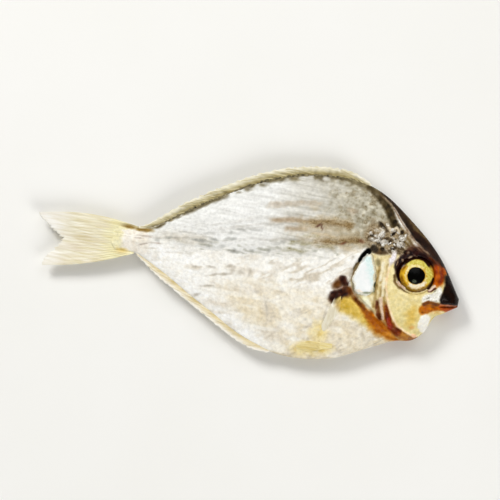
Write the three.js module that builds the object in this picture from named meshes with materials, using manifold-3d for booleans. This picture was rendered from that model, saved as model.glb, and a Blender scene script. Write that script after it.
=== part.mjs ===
// A whole dried ponyfish lying flat on its left side, in millimetres.
// While it is drawn, x runs from the tail base to the snout, y towards the back and z up.
// The finished fish is centred over the surface that it rests on, at z = 0.

import * as THREE from "three";
import { mergeVertices } from "three/addons/utils/BufferGeometryUtils.js";
import Module from "manifold-3d";

const wasm = await Module();
wasm.setup();

// Driving dimensions of the body
const BODY_LENGTH = 80; // tail base to snout tip
const FLESH_END = -2.5; // where the tail's flesh runs out between the fin rays
const MID_HEIGHT = 3.75; // the fish's middle plane above the surface that it lies on
const EDGE_HALF = 0.3; // half the thickness left at the back and belly edges
const TAIL_DROOP = 1.1; // how far the tip of the tail sinks below the middle plane
const DROOP_START = 14;

// Landmarks along the fish, each [x, size]: the flesh's upper and lower edge, its half thickness,
// and the height of its thickest line
const BACK_LINE = [[FLESH_END, 2.9], [1, 3], [6, 3.6], [20, 13.3], [34, 20.9], [48, 23.6],
  [57, 22.2], [66, 16.5], [74, 9.4], [BODY_LENGTH, 0.8]];
const BELLY_LINE = [[FLESH_END, -3.2], [1, -2.8], [5, -3.1], [20, -11], [32, -17.2], [42, -19.8],
  [53, -18.4], [62, -14], [67, -11.6], [71, -10.6], [73.4, -8.2], [75, -4.6], [77, -3.2],
  [BODY_LENGTH, -1.1]];
const HALF_THICKNESS = [[FLESH_END, 0.35], [1, 1.15], [8, 1.6], [24, 3], [44, 4], [58, 4.15],
  [68, 3.9], [75, 2.8], [BODY_LENGTH, 1.1]];
const THICKEST_LINE = [[FLESH_END, 0], [26, 3], [48, 5.6], [60, 3], [70, 1], [BODY_LENGTH, -0.2]];
const BACK_FULLNESS = 0.85;
const BELLY_FULLNESS = 0.95;
const BACKBONE = { height: 0.3, width: 1.5, rearFade: [0, 6], frontFade: [42, 50] };

// Head
const EYE = { x: 69, y: 4.3, radius: 4.5, dome: 0.85, rim: 0.28, rimWidth: 0.8 };
const GILL_REAR = 54.5;
const GILL_EDGE = [[-11.5, 68.4], [-6.1, 61], [-1.8, 55.3], [2, GILL_REAR], [8.5, 57.6], [12, 61]]; // [y, x]
const GILL_COVER = { step: 0.5, stepWidth: 1.1, topFade: [7.5, 12.5], snoutFade: [70, 78] };
const GILL_PLATE = {
  x: 57.4,
  y: 2.5,
  alongX: 2.8,
  alongY: 4.8,
  widestY: 1,
  narrowing: 0.07, // share of its width lost for each millimetre above widestY
  leastShare: 0.2,
  height: 0.4,
  rim: [0.8, 1.15],
};
const CHEEK_EDGE = [[-9.9, 71.6], [-8.6, 68], [-7, 66], [-5, 64.5], [-3, 63.6], [0, 62.8], [3, 62.4],
  [7, 62.6]]; // [y, x]
const CHEEK_RIDGE = { height: 0.35, width: 0.75, lowFade: [-11, -9.9], topFade: [6, 7.5] };
const MOUTH = { cornerX: 72.2, cornerY: -2.6, tipX: 82, tipY: -0.7, gape: 0.75 };

// Fins
const TAIL_FIN = {
  rootX: 3.5,
  rootTop: 3.4,
  rootBottom: -3,
  tipTop: [-20, 2.4],
  tipBottom: [-17, -9.6],
  fork: 0.205, // share of a ray's length lost in the middle of the fork
  forkEdge: [0.05, 0.5], // shares of the fin's width over which the rays shorten
  bow: 1.3, // how far the outer rays curve away from a straight line
  lowerBow: 0.7, // share of that bow in the lowest ray
  half: 0.36,
  rootShare: 1.5, // thickness at the roots and the tips, as shares of half
  tipShare: 0.9,
  rays: 17,
  rayHeight: 0.1,
  wave: { height: 0.35, across: 5, along: 2 },
};
const DORSAL_FIN = { front: 55, rear: 3, height: 2.2, half: 0.42, rays: 24, wave: 0.25 };
const ANAL_FIN = { front: 39, rear: 4, height: 1.7, half: 0.4, rays: 18, wave: 0.2 };
const STRIP_FIN = { sink: 1.2, notch: 0.2, frontTaper: 7, rearTaper: 5, tipShare: 0.7, waveTurns: 19 };
const PECTORAL_FIN = { x: 52.2, y: -3, length: 9.5, spread: 3.8, angle: -1.72, lift: 0.3, sink: 0.5 };
const PELVIC_FIN = { x: 53, y: -15.4, length: 8.5, spread: 2.6, angle: 3.35, lift: 0.25, sink: 0.4 };
const PRESSED_FIN = { rootShare: 0.35, cornerLoss: 0.35 };

// Facets
const BODY_COLUMNS = 58;
const BODY_ROWS = 28;
const HEAD_SHARE = 0.55; // share of the columns in front of the gill edge
const SNOUT_CROWDING = 0.9; // how much the columns close up towards the snout
const EDGE_CROWDING = 0.6; // how much the rows close up towards the back and belly
const EYE_SIDES = 22;
const EYE_RINGS = 12;
const RAY_STEPS = 9;
const FACES_PER_RAY = 2;
const STRIP_ROWS = 3;
const BLADE_COLUMNS = 9;
const BLADE_ROWS = 7;
const MERGE_DISTANCE = 1e-4;
const SLOPE_STEP = 0.5;

// Interpolation

const mix = (a, b, t) => a + (b - a) * t;
const smooth = ([low, high], value) => THREE.MathUtils.smoothstep(value, low, high);
const ridge = (distance, width) => Math.exp(-((distance / width) ** 2));

// A smooth curve through landmarks [position, size], with slopes taken from each landmark's neighbours.
function along(landmarks, position) {
  const last = landmarks.length - 1;
  let i = 0;
  while (i < last - 1 && position > landmarks[i + 1][0]) i += 1;
  const slope = (k) => {
    const [a, b] = [landmarks[Math.max(k - 1, 0)], landmarks[Math.min(k + 1, last)]];
    return (b[1] - a[1]) / (b[0] - a[0]);
  };
  const [p0, v0] = landmarks[i];
  const [p1, v1] = landmarks[i + 1];
  const span = p1 - p0;
  const t = THREE.MathUtils.clamp((position - p0) / span, 0, 1);
  const rest = 1 - t;
  return v0 * (1 + 2 * t) * rest * rest + slope(i) * span * t * rest * rest
    + v1 * t * t * (3 - 2 * t) - slope(i + 1) * span * t * t * rest;
}

function slopeAt(landmarks, position) {
  const rise = along(landmarks, position + SLOPE_STEP) - along(landmarks, position - SLOPE_STEP);
  return rise / (2 * SLOPE_STEP);
}

// The middle surface of the fish, which sinks a little towards the tip of the tail.
function middle(x) {
  const tail = Math.max(0, DROOP_START - x) / (DROOP_START - TAIL_FIN.tipTop[0]);
  return MID_HEIGHT - TAIL_DROOP * tail * tail;
}

// Body relief

// The gill cover stands proud of the shoulder behind its free edge.
function gillCoverRelief(x, y) {
  const inFront = smooth([0, GILL_COVER.stepWidth], x - along(GILL_EDGE, y));
  const fade = (1 - smooth(GILL_COVER.topFade, y)) * (1 - smooth(GILL_COVER.snoutFade, x));
  return GILL_COVER.step * inFront * fade;
}

// The egg-shaped bony plate on the gill cover, narrower at its top.
function gillPlateRelief(x, y) {
  const width = 1 - GILL_PLATE.narrowing * (y - GILL_PLATE.widestY);
  const halfWidth = GILL_PLATE.alongX * Math.max(GILL_PLATE.leastShare, width);
  const share = Math.hypot((x - GILL_PLATE.x) / halfWidth, (y - GILL_PLATE.y) / GILL_PLATE.alongY);
  return GILL_PLATE.height * (1 - smooth(GILL_PLATE.rim, share));
}

// The curved bone between the cheek and the gill cover.
function cheekRelief(x, y) {
  const distance = (x - along(CHEEK_EDGE, y)) / Math.hypot(1, slopeAt(CHEEK_EDGE, y));
  const fade = smooth(CHEEK_RIDGE.lowFade, y) * (1 - smooth(CHEEK_RIDGE.topFade, y));
  return CHEEK_RIDGE.height * ridge(distance, CHEEK_RIDGE.width) * fade;
}

// The bony rim around the eye.
function eyeRimRelief(x, y) {
  const distance = Math.hypot(x - EYE.x, y - EYE.y) - EYE.radius - EYE.rimWidth / 2;
  return EYE.rim * ridge(distance, EYE.rimWidth);
}

// The backbone, which shows through the shrunken flesh of the trunk.
function backboneRelief(x, y) {
  const fade = smooth(BACKBONE.rearFade, x) * (1 - smooth(BACKBONE.frontFade, x));
  return BACKBONE.height * fade * ridge(y - along(THICKEST_LINE, x), BACKBONE.width);
}

function relief(x, y) {
  return gillCoverRelief(x, y) + gillPlateRelief(x, y) + cheekRelief(x, y) + eyeRimRelief(x, y)
    + backboneRelief(x, y);
}

// Half the thickness of the fish at a point of its side.
function halfThickness(x, y) {
  const thickest = along(THICKEST_LINE, x);
  const above = y > thickest;
  const edge = above ? along(BACK_LINE, x) : along(BELLY_LINE, x);
  const share = THREE.MathUtils.clamp((y - thickest) / (edge - thickest), 0, 1);
  const bulge = (1 - share * share) ** (above ? BACK_FULLNESS : BELLY_FULLNESS);
  return EDGE_HALF + (along(HALF_THICKNESS, x) - EDGE_HALF + relief(x, y)) * bulge;
}

// Solids

function solidFrom(geometry) {
  geometry.deleteAttribute("normal");
  geometry.deleteAttribute("uv");
  const merged = mergeVertices(geometry, MERGE_DISTANCE);
  return new wasm.Manifold(new wasm.Mesh({
    numProp: 3,
    vertProperties: merged.attributes.position.array,
    triVerts: new Uint32Array(merged.index.array),
  }));
}

// A closed solid between two like grids: point(s, t) gives x, y and the heights of the lower and upper face.
function sheetSolid(columns, rows, point) {
  const vertices = [];
  const triangles = [];
  const perFace = (columns + 1) * (rows + 1);
  for (const face of [2, 3]) {
    for (let c = 0; c <= columns; c += 1) {
      for (let r = 0; r <= rows; r += 1) {
        const p = point(c / columns, r / rows);
        vertices.push(p[0], p[1], p[face]);
      }
    }
  }
  const at = (c, r, upper) => c * (rows + 1) + r + (upper ? perFace : 0);
  const quad = (a, b, c, d) => triangles.push(a, b, c, a, c, d);
  for (let c = 0; c < columns; c += 1) {
    for (let r = 0; r < rows; r += 1) {
      quad(at(c, r, true), at(c + 1, r, true), at(c + 1, r + 1, true), at(c, r + 1, true));
      quad(at(c, r, false), at(c, r + 1, false), at(c + 1, r + 1, false), at(c + 1, r, false));
    }
    quad(at(c, 0, false), at(c + 1, 0, false), at(c + 1, 0, true), at(c, 0, true));
    quad(at(c, rows, true), at(c + 1, rows, true), at(c + 1, rows, false), at(c, rows, false));
  }
  for (let r = 0; r < rows; r += 1) {
    quad(at(0, r, true), at(0, r + 1, true), at(0, r + 1, false), at(0, r, false));
    quad(at(columns, r, false), at(columns, r + 1, false), at(columns, r + 1, true), at(columns, r, true));
  }
  const geometry = new THREE.BufferGeometry();
  geometry.setAttribute("position", new THREE.Float32BufferAttribute(vertices, 3));
  geometry.setIndex(triangles);
  const solid = solidFrom(geometry);
  if (solid.volume() > 0) return solid;
  for (let i = 0; i < triangles.length; i += 3) {
    [triangles[i + 1], triangles[i + 2]] = [triangles[i + 2], triangles[i + 1]];
  }
  geometry.setIndex(triangles);
  return solidFrom(geometry);
}

// The trunk and head: columns are denser in the head, rows closer together at the edges.
function bodySolid() {
  const trunkShare = 1 - HEAD_SHARE;
  return sheetSolid(BODY_COLUMNS, BODY_ROWS, (s, t) => {
    const headShare = (s - trunkShare) / HEAD_SHARE;
    const x = s < trunkShare ? mix(FLESH_END, GILL_REAR, s / trunkShare)
      : mix(GILL_REAR, BODY_LENGTH, Math.sin(headShare * Math.PI / 2) ** SNOUT_CROWDING);
    const across = mix(t, (1 - Math.cos(t * Math.PI)) / 2, EDGE_CROWDING);
    const y = mix(along(BELLY_LINE, x), along(BACK_LINE, x), across);
    const half = halfThickness(x, y);
    return [x, y, middle(x) - half, middle(x) + half];
  });
}

// The eyeballs: a shallow dome on each side.
function eyeSolids() {
  return [-1, 1].map((side) => {
    const geometry = new THREE.SphereGeometry(1, EYE_SIDES, EYE_RINGS);
    geometry.rotateX(Math.PI / 2);
    geometry.scale(EYE.radius, EYE.radius, 2 * EYE.dome);
    const surface = halfThickness(EYE.x, EYE.y) - EYE.dome;
    geometry.translate(EYE.x, EYE.y, middle(EYE.x) + side * surface);
    return solidFrom(geometry);
  });
}

// The slit between the jaws, open from side to side.
function mouthSolid() {
  const shape = new THREE.Shape();
  shape.moveTo(MOUTH.cornerX, MOUTH.cornerY);
  shape.lineTo(MOUTH.tipX, MOUTH.tipY - MOUTH.gape / 2);
  shape.lineTo(MOUTH.tipX, MOUTH.tipY + MOUTH.gape / 2);
  shape.closePath();
  const depth = 4 * MID_HEIGHT;
  const geometry = new THREE.ExtrudeGeometry(shape, { depth, bevelEnabled: false });
  geometry.translate(0, 0, MID_HEIGHT - depth / 2);
  return solidFrom(geometry);
}

// The forked tail fin: rays fan out from the tail base, the outer ones longest, with blunt lobes.
function tailFinSolid() {
  const fin = TAIL_FIN;
  return sheetSolid(fin.rays * FACES_PER_RAY, RAY_STEPS, (s, t) => {
    const rootY = mix(fin.rootTop, fin.rootBottom, s);
    const reach = 1 - fin.fork * smooth(fin.forkEdge, Math.min(s, 1 - s));
    const tipX = mix(fin.rootX, mix(fin.tipTop[0], fin.tipBottom[0], s), reach);
    const tipY = mix(rootY, mix(fin.tipTop[1], fin.tipBottom[1], s), reach);
    const bow = fin.bow * mix(1, fin.lowerBow, s) * (1 - 2 * s) * Math.sin(t * Math.PI);
    const x = mix(fin.rootX, tipX, t);
    const y = mix(rootY, tipY, t) + bow;
    const z = middle(x) + fin.wave.height * t * Math.sin(s * fin.wave.across + t * fin.wave.along);
    const crest = fin.rayHeight * Math.cos(2 * Math.PI * s * fin.rays);
    const half = fin.half * mix(fin.rootShare, fin.tipShare, t) + crest * t;
    return [x, y, z - half, z + half];
  });
}

// A dried fin folded down along the back (side 1) or the belly (side -1), its ray tips a low saw edge.
function stripFinSolid(fin, line, side) {
  return sheetSolid(fin.rays * FACES_PER_RAY, STRIP_ROWS, (s, t) => {
    const rootX = mix(fin.front, fin.rear, s);
    const swell = Math.sqrt(Math.min(1, s * STRIP_FIN.frontTaper, (1 - s) * STRIP_FIN.rearTaper));
    const tooth = 1 - STRIP_FIN.notch * (1 + Math.cos(2 * Math.PI * s * fin.rays)) / 2;
    const slope = slopeAt(line, rootX);
    const length = Math.hypot(1, slope);
    const outward = mix(-STRIP_FIN.sink, fin.height * swell * tooth, t);
    const x = rootX - side * slope / length * outward;
    const y = along(line, rootX) + side * outward / length;
    const z = middle(x) + fin.wave * t * Math.sin(s * STRIP_FIN.waveTurns);
    const half = fin.half * mix(1, STRIP_FIN.tipShare, t);
    return [x, y, z - half, z + half];
  });
}

// A fin that has dried flat against the skin, one on each side, fanning out from its root.
function pressedFinSolids(fin) {
  return [-1, 1].map((side) => sheetSolid(BLADE_COLUMNS, BLADE_ROWS, (s, t) => {
    const fan = fin.spread * (t - 0.5) * mix(PRESSED_FIN.rootShare, 1, s);
    const reach = fin.length * s * (1 - PRESSED_FIN.cornerLoss * (2 * t - 1) ** 2);
    const x = fin.x + reach * Math.cos(fin.angle) - fan * Math.sin(fin.angle);
    const y = fin.y + reach * Math.sin(fin.angle) + fan * Math.cos(fin.angle);
    const surface = middle(x) + side * halfThickness(x, y);
    const faces = [surface - side * fin.sink, surface + side * fin.lift];
    return [x, y, Math.min(...faces), Math.max(...faces)];
  }));
}

// Everything below the surface that the fish lies on.
function floorSolid() {
  const size = 4 * BODY_LENGTH;
  const geometry = new THREE.BoxGeometry(size, size, size);
  geometry.translate(0, 0, -size / 2);
  return solidFrom(geometry);
}

function fishGeometry() {
  const stripFins = [stripFinSolid(DORSAL_FIN, BACK_LINE, 1), stripFinSolid(ANAL_FIN, BELLY_LINE, -1)];
  const pressedFins = [PECTORAL_FIN, PELVIC_FIN].flatMap(pressedFinSolids);
  const added = [...eyeSolids(), tailFinSolid(), ...stripFins, ...pressedFins];
  const whole = added.reduce((fish, piece) => fish.add(piece), bodySolid());
  const made = whole.subtract(mouthSolid()).subtract(floorSolid()).getMesh();
  const geometry = new THREE.BufferGeometry();
  geometry.setAttribute("position", new THREE.BufferAttribute(made.vertProperties, made.numProp));
  geometry.setIndex(new THREE.BufferAttribute(made.triVerts, 1));
  return geometry;
}

const geometry = fishGeometry();
geometry.computeBoundingBox();
const centre = geometry.boundingBox.getCenter(new THREE.Vector3());

const skin = new THREE.MeshStandardMaterial({ color: 0xe4dcc8, roughness: 0.5, metalness: 0.1 });
const fish = new THREE.Mesh(geometry, skin);
fish.name = "ponyfish";
fish.position.set(-centre.x, -centre.y, 0);

const part = new THREE.Group();
part.add(fish);

export default part;
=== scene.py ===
# The looks of a whole dried ponyfish lying on its side.
# Sizes are millimetres in the fish's own frame: x from the tail base to the snout, y to the back, z up.

import math

import bmesh
import bpy
import numpy as np
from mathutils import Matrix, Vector


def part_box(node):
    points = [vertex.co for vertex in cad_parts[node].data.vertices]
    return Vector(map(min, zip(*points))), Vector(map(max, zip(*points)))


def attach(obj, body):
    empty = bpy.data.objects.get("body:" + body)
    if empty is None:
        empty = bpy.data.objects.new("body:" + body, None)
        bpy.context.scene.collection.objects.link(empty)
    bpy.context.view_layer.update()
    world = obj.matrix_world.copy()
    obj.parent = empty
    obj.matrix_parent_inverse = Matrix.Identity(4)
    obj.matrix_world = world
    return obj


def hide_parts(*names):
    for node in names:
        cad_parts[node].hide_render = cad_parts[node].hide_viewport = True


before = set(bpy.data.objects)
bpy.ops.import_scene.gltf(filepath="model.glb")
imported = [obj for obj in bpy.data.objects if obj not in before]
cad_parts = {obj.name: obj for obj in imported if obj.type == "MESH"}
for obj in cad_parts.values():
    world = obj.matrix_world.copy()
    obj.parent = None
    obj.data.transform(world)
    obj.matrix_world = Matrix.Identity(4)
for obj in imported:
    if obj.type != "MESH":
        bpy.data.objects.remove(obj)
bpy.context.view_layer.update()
_, fish_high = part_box("ponyfish")

# Body, with landmarks along it, each (x, size)
MM = 0.001
BODY_LENGTH = 80.0
BACK_TOP = 25.76  # top of the folded back fin above the tail base
FLESH_END = -2.5
FLESH_SCALLOP, SCALLOP_REACH = 1.8, 4.0  # the rounded end of the flesh between the tail rays
MID_HEIGHT = 3.75
EDGE_HALF = 0.3
EDGE_ROUND = 0.5  # width over which the back and belly edges are rounded
SNOUT_ROUND = 1.3
RIM_HALF = 0.05
TAIL_DROOP = 1.1
DROOP_START = 14.0
BACK_LINE = [(FLESH_END, 2.9), (1, 3), (6, 3.6), (20, 13.3), (34, 20.9), (48, 23.6),
             (57, 22.2), (66, 16.5), (74, 9.4), (BODY_LENGTH, 0.8)]
BELLY_LINE = [(FLESH_END, -3.2), (1, -2.8), (5, -3.1), (20, -11), (32, -17.2), (42, -19.8),
              (53, -18.4), (62, -14), (67, -11.6), (71, -10.6), (73.4, -8.2), (75, -4.6), (77, -3.2),
              (BODY_LENGTH, -1.1)]
HALF_THICKNESS = [(FLESH_END, 0.1), (1, 1.15), (8, 1.6), (24, 3), (44, 4), (58, 4.15),
                  (68, 3.9), (75, 2.8), (BODY_LENGTH, 1.1)]
THICKEST_LINE = [(FLESH_END, 0), (26, 3), (48, 5.6), (60, 3), (70, 1), (BODY_LENGTH, -0.2)]
BACK_FULLNESS = 0.85
BELLY_FULLNESS = 0.95
COLOUR_BORDER = [(FLESH_END, 0), (0, 0), (26, 1.7), (36, 3.6), (44, 4.8), (50, 6.5), (54.6, 8.5), (62, 11)]

# Head, with edges whose landmarks are (y, x)
EYE_X, EYE_Y, EYE_RADIUS, EYE_DOME = 69.0, 4.3, 4.5, 0.85
PUPIL_RADIUS, IRIS_RADIUS = 2.05, 3.7
GILL_REAR = 54.5
GILL_EDGE = [(-11.5, 68.4), (-6.1, 61), (-1.8, 55.3), (2, GILL_REAR), (8.5, 57.6), (12, 61)]
CHEEK_EDGE = [(-9.9, 71.6), (-8.6, 68), (-7, 66), (-5, 64.5), (-3, 63.6), (0, 62.8), (3, 62.4), (7, 62.6)]
PLATE_X, PLATE_Y, PLATE_HALF_X, PLATE_HALF_Y, PLATE_NARROWING = 57.4, 2.5, 2.8, 4.8, 0.07
NAPE_X, NAPE_Y, NAPE_HALF_X, NAPE_HALF_Y = 61.2, 11.2, 5.0, 3.6

# Lines on the head and trunk, each point (x, y)
GILL_GAP = [(57.0, 7.7), (56.2, 6.6), (55.8, 5.5)]
GILL_GAP_TAIL = [(55.9, 4.9), (55.2, 4.4), (54.7, 3.0), (54.4, 1.2), (54.4, 0.0)]
GILL_LINE = [(53.4, -1.7), (54.4, -1.7), (55.3, -2.8), (56.6, -3.9), (57.8, -5.0), (59.2, -6.2)]
SHOULDER_BAND = [(54.3, -4.9), (56.5, -5.8), (59.0, -7.1), (61.5, -8.6), (64.0, -9.9), (67.0, -10.5),
                 (70.0, -10.4)]
BAND_ORANGE = [(56.6, -4.3), (58.4, -5.6), (60.5, -7.0), (62.5, -8.4), (65.0, -9.9), (67.5, -10.3)]
RED_GROOVE = [(63.5, -4.0), (64.2, -6.0), (64.9, -7.6), (66.0, -8.8), (67.4, -9.3)]
RED_CORE = [(64.7, -7.0), (65.3, -8.6)]
DARK_GROOVE = [(61.2, -3.4), (61.6, -4.9), (62.1, -6.0), (62.9, -7.0)]
GROOVE_BONE = [(61.8, -2.6), (62.4, -4.4), (63.0, -5.8), (63.4, -7.1)]
STRIP_BONES = [[(61.0, 5.7), (60.9, 3.6), (61.0, 1.8)], [(62.0, 2.2), (62.0, 0.2), (62.2, -1.6)],
               [(63.0, 5.0), (62.9, 3.0), (62.8, 1.2), (63.3, -1.3)]]
STRIP_GAPS = [[(60.3, 4.8), (60.4, 1.8), (60.45, -1.0), (60.7, -4.6)], [(62.1, 5.6), (62.15, 2.4)],
              [(61.5, 0.2), (61.6, -3.8)], [(62.35, -0.3), (62.6, -2.4), (62.9, -3.6)],
              [(62.8, 1.8), (63.2, -1.6), (63.7, -4.4)], [(61.15, 1.7), (61.2, 1.1)]]
BROW_RIDGE = [(56.8, 21.5), (60.2, 19.5), (63.2, 16.4), (65.0, 14.4), (67.5, 11.8), (69.2, 10.9),
              (71.2, 9.8)]
BROW_GROOVE = [(54.8, 22.3), (57.2, 20.9), (59.4, 18.7), (61.0, 16.6), (62.4, 14.8)]
# The dark forehead edge, partly painted shade along the outline
FOREHEAD_DARK_AND_SHADE = [(66.8, 13.6), (69.6, 12.0), (72.0, 10.3), (73.8, 9.2), (75.2, 8.3)]
AMBER_EDGE = [(71.6, 8.4), (73.0, 8.3), (74.6, 8.2)]
AMBER_STREAKS = [[(74.9, 6.4), (75.1, 5.0), (74.8, 3.6)], [(73.2, 7.6), (73.4, 6.0)]]
LID_LINE = [(64.0, 3.4), (64.4, 2.0), (65.4, 1.0), (66.6, 0.45), (68.0, 0.15)]
# Painted highlight: a pinkish-white glint along the lower rim of the eye socket
LID_GLINT = [(65.0, 2.2), (65.8, 1.45), (66.9, 0.95)]
EYE_CORNER_DARKS = [[(73.1, 4.4), (72.9, 3.0), (72.3, 1.9)], [(73.9, 2.2), (72.6, 1.2)]]
# Painted highlight: a pinkish-white glint at the eye's front corner
EYE_CORNER_GLINT = [(73.7, 2.8), (72.6, 1.5)]
MOUTH = [(72.2, -2.6), (74.2, -2.1), (77.0, -1.6), (80.2, -1.0)]
LIP_BROWN = [(71.9, -1.9), (73.2, -1.3), (75.8, -1.2)]
LIP_ORANGE = [(72.2, -3.2), (72.9, -2.5), (74.6, -2.0), (76.4, -1.9)]
# Painted highlight: a thin pinkish line along the top of the lip, under the snout
LIP_HIGHLIGHT = [(75.8, -1.15), (77.5, -1.2), (79.4, -0.9)]
LIP_RED = [(76.4, -1.6), (77.6, -1.9), (79.2, -1.3)]
# The golden lower edge of the lip, with a painted highlight along it
LIP_GOLD_AND_HIGHLIGHT = [(73.0, -3.7), (74.6, -3.2), (76.2, -2.9)]
# Painted shade: a dark line along the lower edge at the chin
CHIN_EDGE_SHADE = [(70.4, -10.3), (71.4, -10.4), (72.6, -9.8), (73.7, -8.2)]
UNDER_EYE = [(72.2, -0.8), (73.4, -0.1), (74.9, 0.3)]
FIN_ROOT_UPPER = [(52.3, 0.4), (53.2, -0.5)]
FIN_ROOT_LOWER = [(51.3, -4.0), (52.2, -3.3), (53.2, -2.4), (54.2, -2.0)]
NAPE_ZIGZAG = [(60.4, 14.4), (61.4, 13.3), (62.5, 14.5), (63.3, 13.4)]
TAN_LINES = [[(30.5, 13.6), (36, 14.9), (41, 16.1), (46, 16.6)], [(32.2, 10.3), (41.3, 12.3), (45, 12.4)],
             [(36, 9.4), (43, 10.4)], [(50, 16.1), (53.5, 16.3)]]
BROWN_LINES = [[(37, 11.4), (42, 12.1), (46, 12.4), (49, 12.6), (51.5, 12.9), (54, 13.3)],
               [(39, 8.4), (44.5, 7.7), (48, 8.5), (51, 8.8), (53.5, 9.8), (56.5, 10.4)]]
GREY_LINES = [[(10, 2.0), (18, 2.9), (24.3, 2.0), (28.3, 1.9), (30.8, 2.9)],
              [(8, 2.2), (15, 4.2), (23, 5.4)], [(24, 5.9), (29, 7.6), (34, 8.0)],
              [(34, 4.6), (37, 6.1), (39.5, 6.9), (42.3, 6.4), (45, 7.3)],
              [(39.5, 8.8), (43, 8.2), (46, 7.3), (49.5, 7.4)]]
OLIVE_LINES = [[(37, 5.9), (40, 6.5), (43, 7.0), (45.5, 7.4)], [(43.5, 6.6), (46.5, 7.0), (50, 7.4)],
               [(40.5, 8.7), (43, 9.0), (46, 9.0)], [(36.5, 4.5), (40, 4.9), (44, 5.4)]]

# Spots on the head and trunk, each (x, y, half width, half height, turn in degrees)
# White bits of broken scale on the nape, partly painted glints
NAPE_WHITES_AND_GLINTS = [(59.4, 12.3, 1.2, 0.6, 55), (57.9, 10.7, 1.3, 0.4, 0), (60.4, 10.6, 0.7, 0.5, 0),
               (60.0, 9.9, 0.5, 0.35, 0), (64.3, 12.1, 0.7, 0.8, 0), (64.1, 10.7, 0.9, 0.4, 10),
               (60.3, 14.7, 0.5, 0.45, 0), (62.4, 11.6, 0.5, 0.3, -40)]
NAPE_DARKS = [(59.0, 14.3, 1.1, 0.4, -35), (57.4, 11.6, 0.6, 0.4, 0), (61.5, 10.8, 0.5, 0.5, 0),
              (62.6, 9.5, 0.7, 0.4, 0), (60.1, 8.95, 0.5, 0.45, 0), (58.2, 8.6, 0.8, 0.9, 0),
              (61.9, 12.8, 0.6, 0.45, 30), (64.0, 13.6, 0.5, 0.5, 0), (65.6, 9.1, 0.5, 0.5, 0),
              (62.0, 15.6, 0.4, 0.6, -40)]
NAPE_SHADOW = [(59.6, 8.2, 2.1, 0.8, 0)]
LILAC_BONE = [(62.9, 7.3, 0.7, 1.9, -12)]
GILL_GREENS = [(59.95, 0.5, 0.3, 0.8, 0)]
GILL_GREYS = [(58.6, -1.7, 1.3, 0.3, 8), (60.1, -0.8, 0.3, 0.9, 0)]
GILL_TANS = [(59.8, 5.6, 0.7, 1.0, 35)]
UNDER_PLATE = [(58.9, -3.9, 1.0, 2.3, 38)]
PLATE_FLESH = [(56.8, -2.0, 1.4, 0.7, -10)]
CHEEK_GOLD = [(69.9, -5.2, 1.7, 3.0, -12)]
CHEEK_ORANGE = [(70.4, -7.8, 0.8, 0.5, 30)]
AMBER = [(74.1, 5.4, 1.9, 2.9, 0), (75.2, 6.4, 1.1, 1.6, -20)]
# Pale tan specks in the dark eye socket; the two thin ones at its left are painted glints
SOCKET_SPECKS_AND_GLINTS = [(64.15, 6.4, 0.15, 0.9, 0), (65.2, 7.2, 0.35, 0.5, 20), (67.0, 8.2, 0.75, 0.4, 30),
                 (67.9, 8.8, 0.7, 0.4, -30), (66.2, 9.0, 0.4, 0.4, 0)]
UNDER_EYE_BONE = [(75.0, 1.0, 0.95, 1.9, 6)]
UNDER_EYE_GREY = [(72.8, -0.4, 0.5, 0.22, 35), (73.9, 1.5, 0.4, 0.22, 45), (74.6, -0.6, 0.5, 0.15, 0)]
JAW_BONE = [(73.0, -5.6, 1.25, 1.6, -10), (73.1, -7.2, 0.9, 1.3, -25), (72.4, -6.4, 0.8, 1.4, 0)]
SNOUT_BULGE = [(77.6, 2.0, 2.2, 2.6, 0)]
CHIN = [(71.3, -9.6, 0.7, 0.45, -20)]
# A golden throat at the lower edge, painted lighter there against the edge's shade
THROAT_GOLD_AND_LIGHT = [(66.3, -10.4, 2.4, 0.6, -6)]
LIP_DARK = [(74.2, -2.1, 0.6, 0.35, -8), (72.9, -1.5, 0.4, 0.3, 0), (72.0, -3.8, 0.35, 0.3, 0)]
FIN_ROOT_BROWN = [(51.6, -0.8, 1.2, 1.7, -35), (51.2, -4.6, 1.2, 0.9, 15), (53.2, -2.6, 1.9, 1.0, -10)]
FIN_ROOT_PALE = [(52.6, -1.5, 1.2, 0.22, 22)]
FLANK_SPOT = [(44.4, 11.6, 0.28, 0.7, -55), (45.3, 11.4, 0.28, 0.9, 20)]
BACK_TANS = [(43.0, 15.6, 1.4, 1.6, 0), (46.5, 10.5, 8.0, 4.2, 8), (53.0, 7.6, 3.5, 1.6, 20)]
NAPE_SIDE = [(57.2, 13.2, 1.1, 2.4, 10), (57.0, 11.2, 1.4, 1.0, 0)]
GILL_BROWNS = [(55.2, 9.9, 0.9, 0.45, -5), (51.0, 8.5, 0.9, 0.3, 30)]
BELLY_YELLOWS = [(49.2, -13.0, 1.9, 2.6, 12), (47.2, -17.2, 3.4, 1.7, 9), (51.0, -16.6, 2.2, 1.2, 14)]
# Painted highlights: white patches on the lower flank
FLANK_HIGHLIGHTS = [(42, -12.6, 2.8, 1.8, 0), (14, -4.5, 4.5, 2.2, -25)]
BEIGE_PATCHES = [(29.5, -2, 4.0, 1.2, 5), (31, 1.8, 1.6, 1.2, 0), (32, -6, 4.2, 1.3, 8),
                 (37, -10.5, 1.6, 3.6, 20), (25, -10.5, 4.5, 1.2, 5), (51.5, -9.5, 1.8, 2.6, 0),
                 (40, -16, 3.2, 1.4, 15), (17.5, -3.6, 3.0, 0.7, 6)]
GREY_DASHES = [(11, 2.3, 1.3, 0.4, 15), (17, 3.0, 2.2, 0.35, 3), (20.6, 2.2, 1.0, 0.35, 5),
               (23.4, 2.4, 0.9, 0.4, 15), (26.9, 1.9, 1.9, 0.35, 5), (30.4, 2.7, 0.6, 0.45, 0),
               (34.3, 3.6, 0.5, 0.6, 0), (21.3, 3.8, 1.3, 0.3, -5), (25.3, 4.7, 1.2, 0.4, 8),
               (8.3, 1.1, 0.7, 0.4, 0), (3.9, 1.5, 0.9, 0.3, 15), (24.9, 6.2, 0.5, 0.5, 0)]
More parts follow.
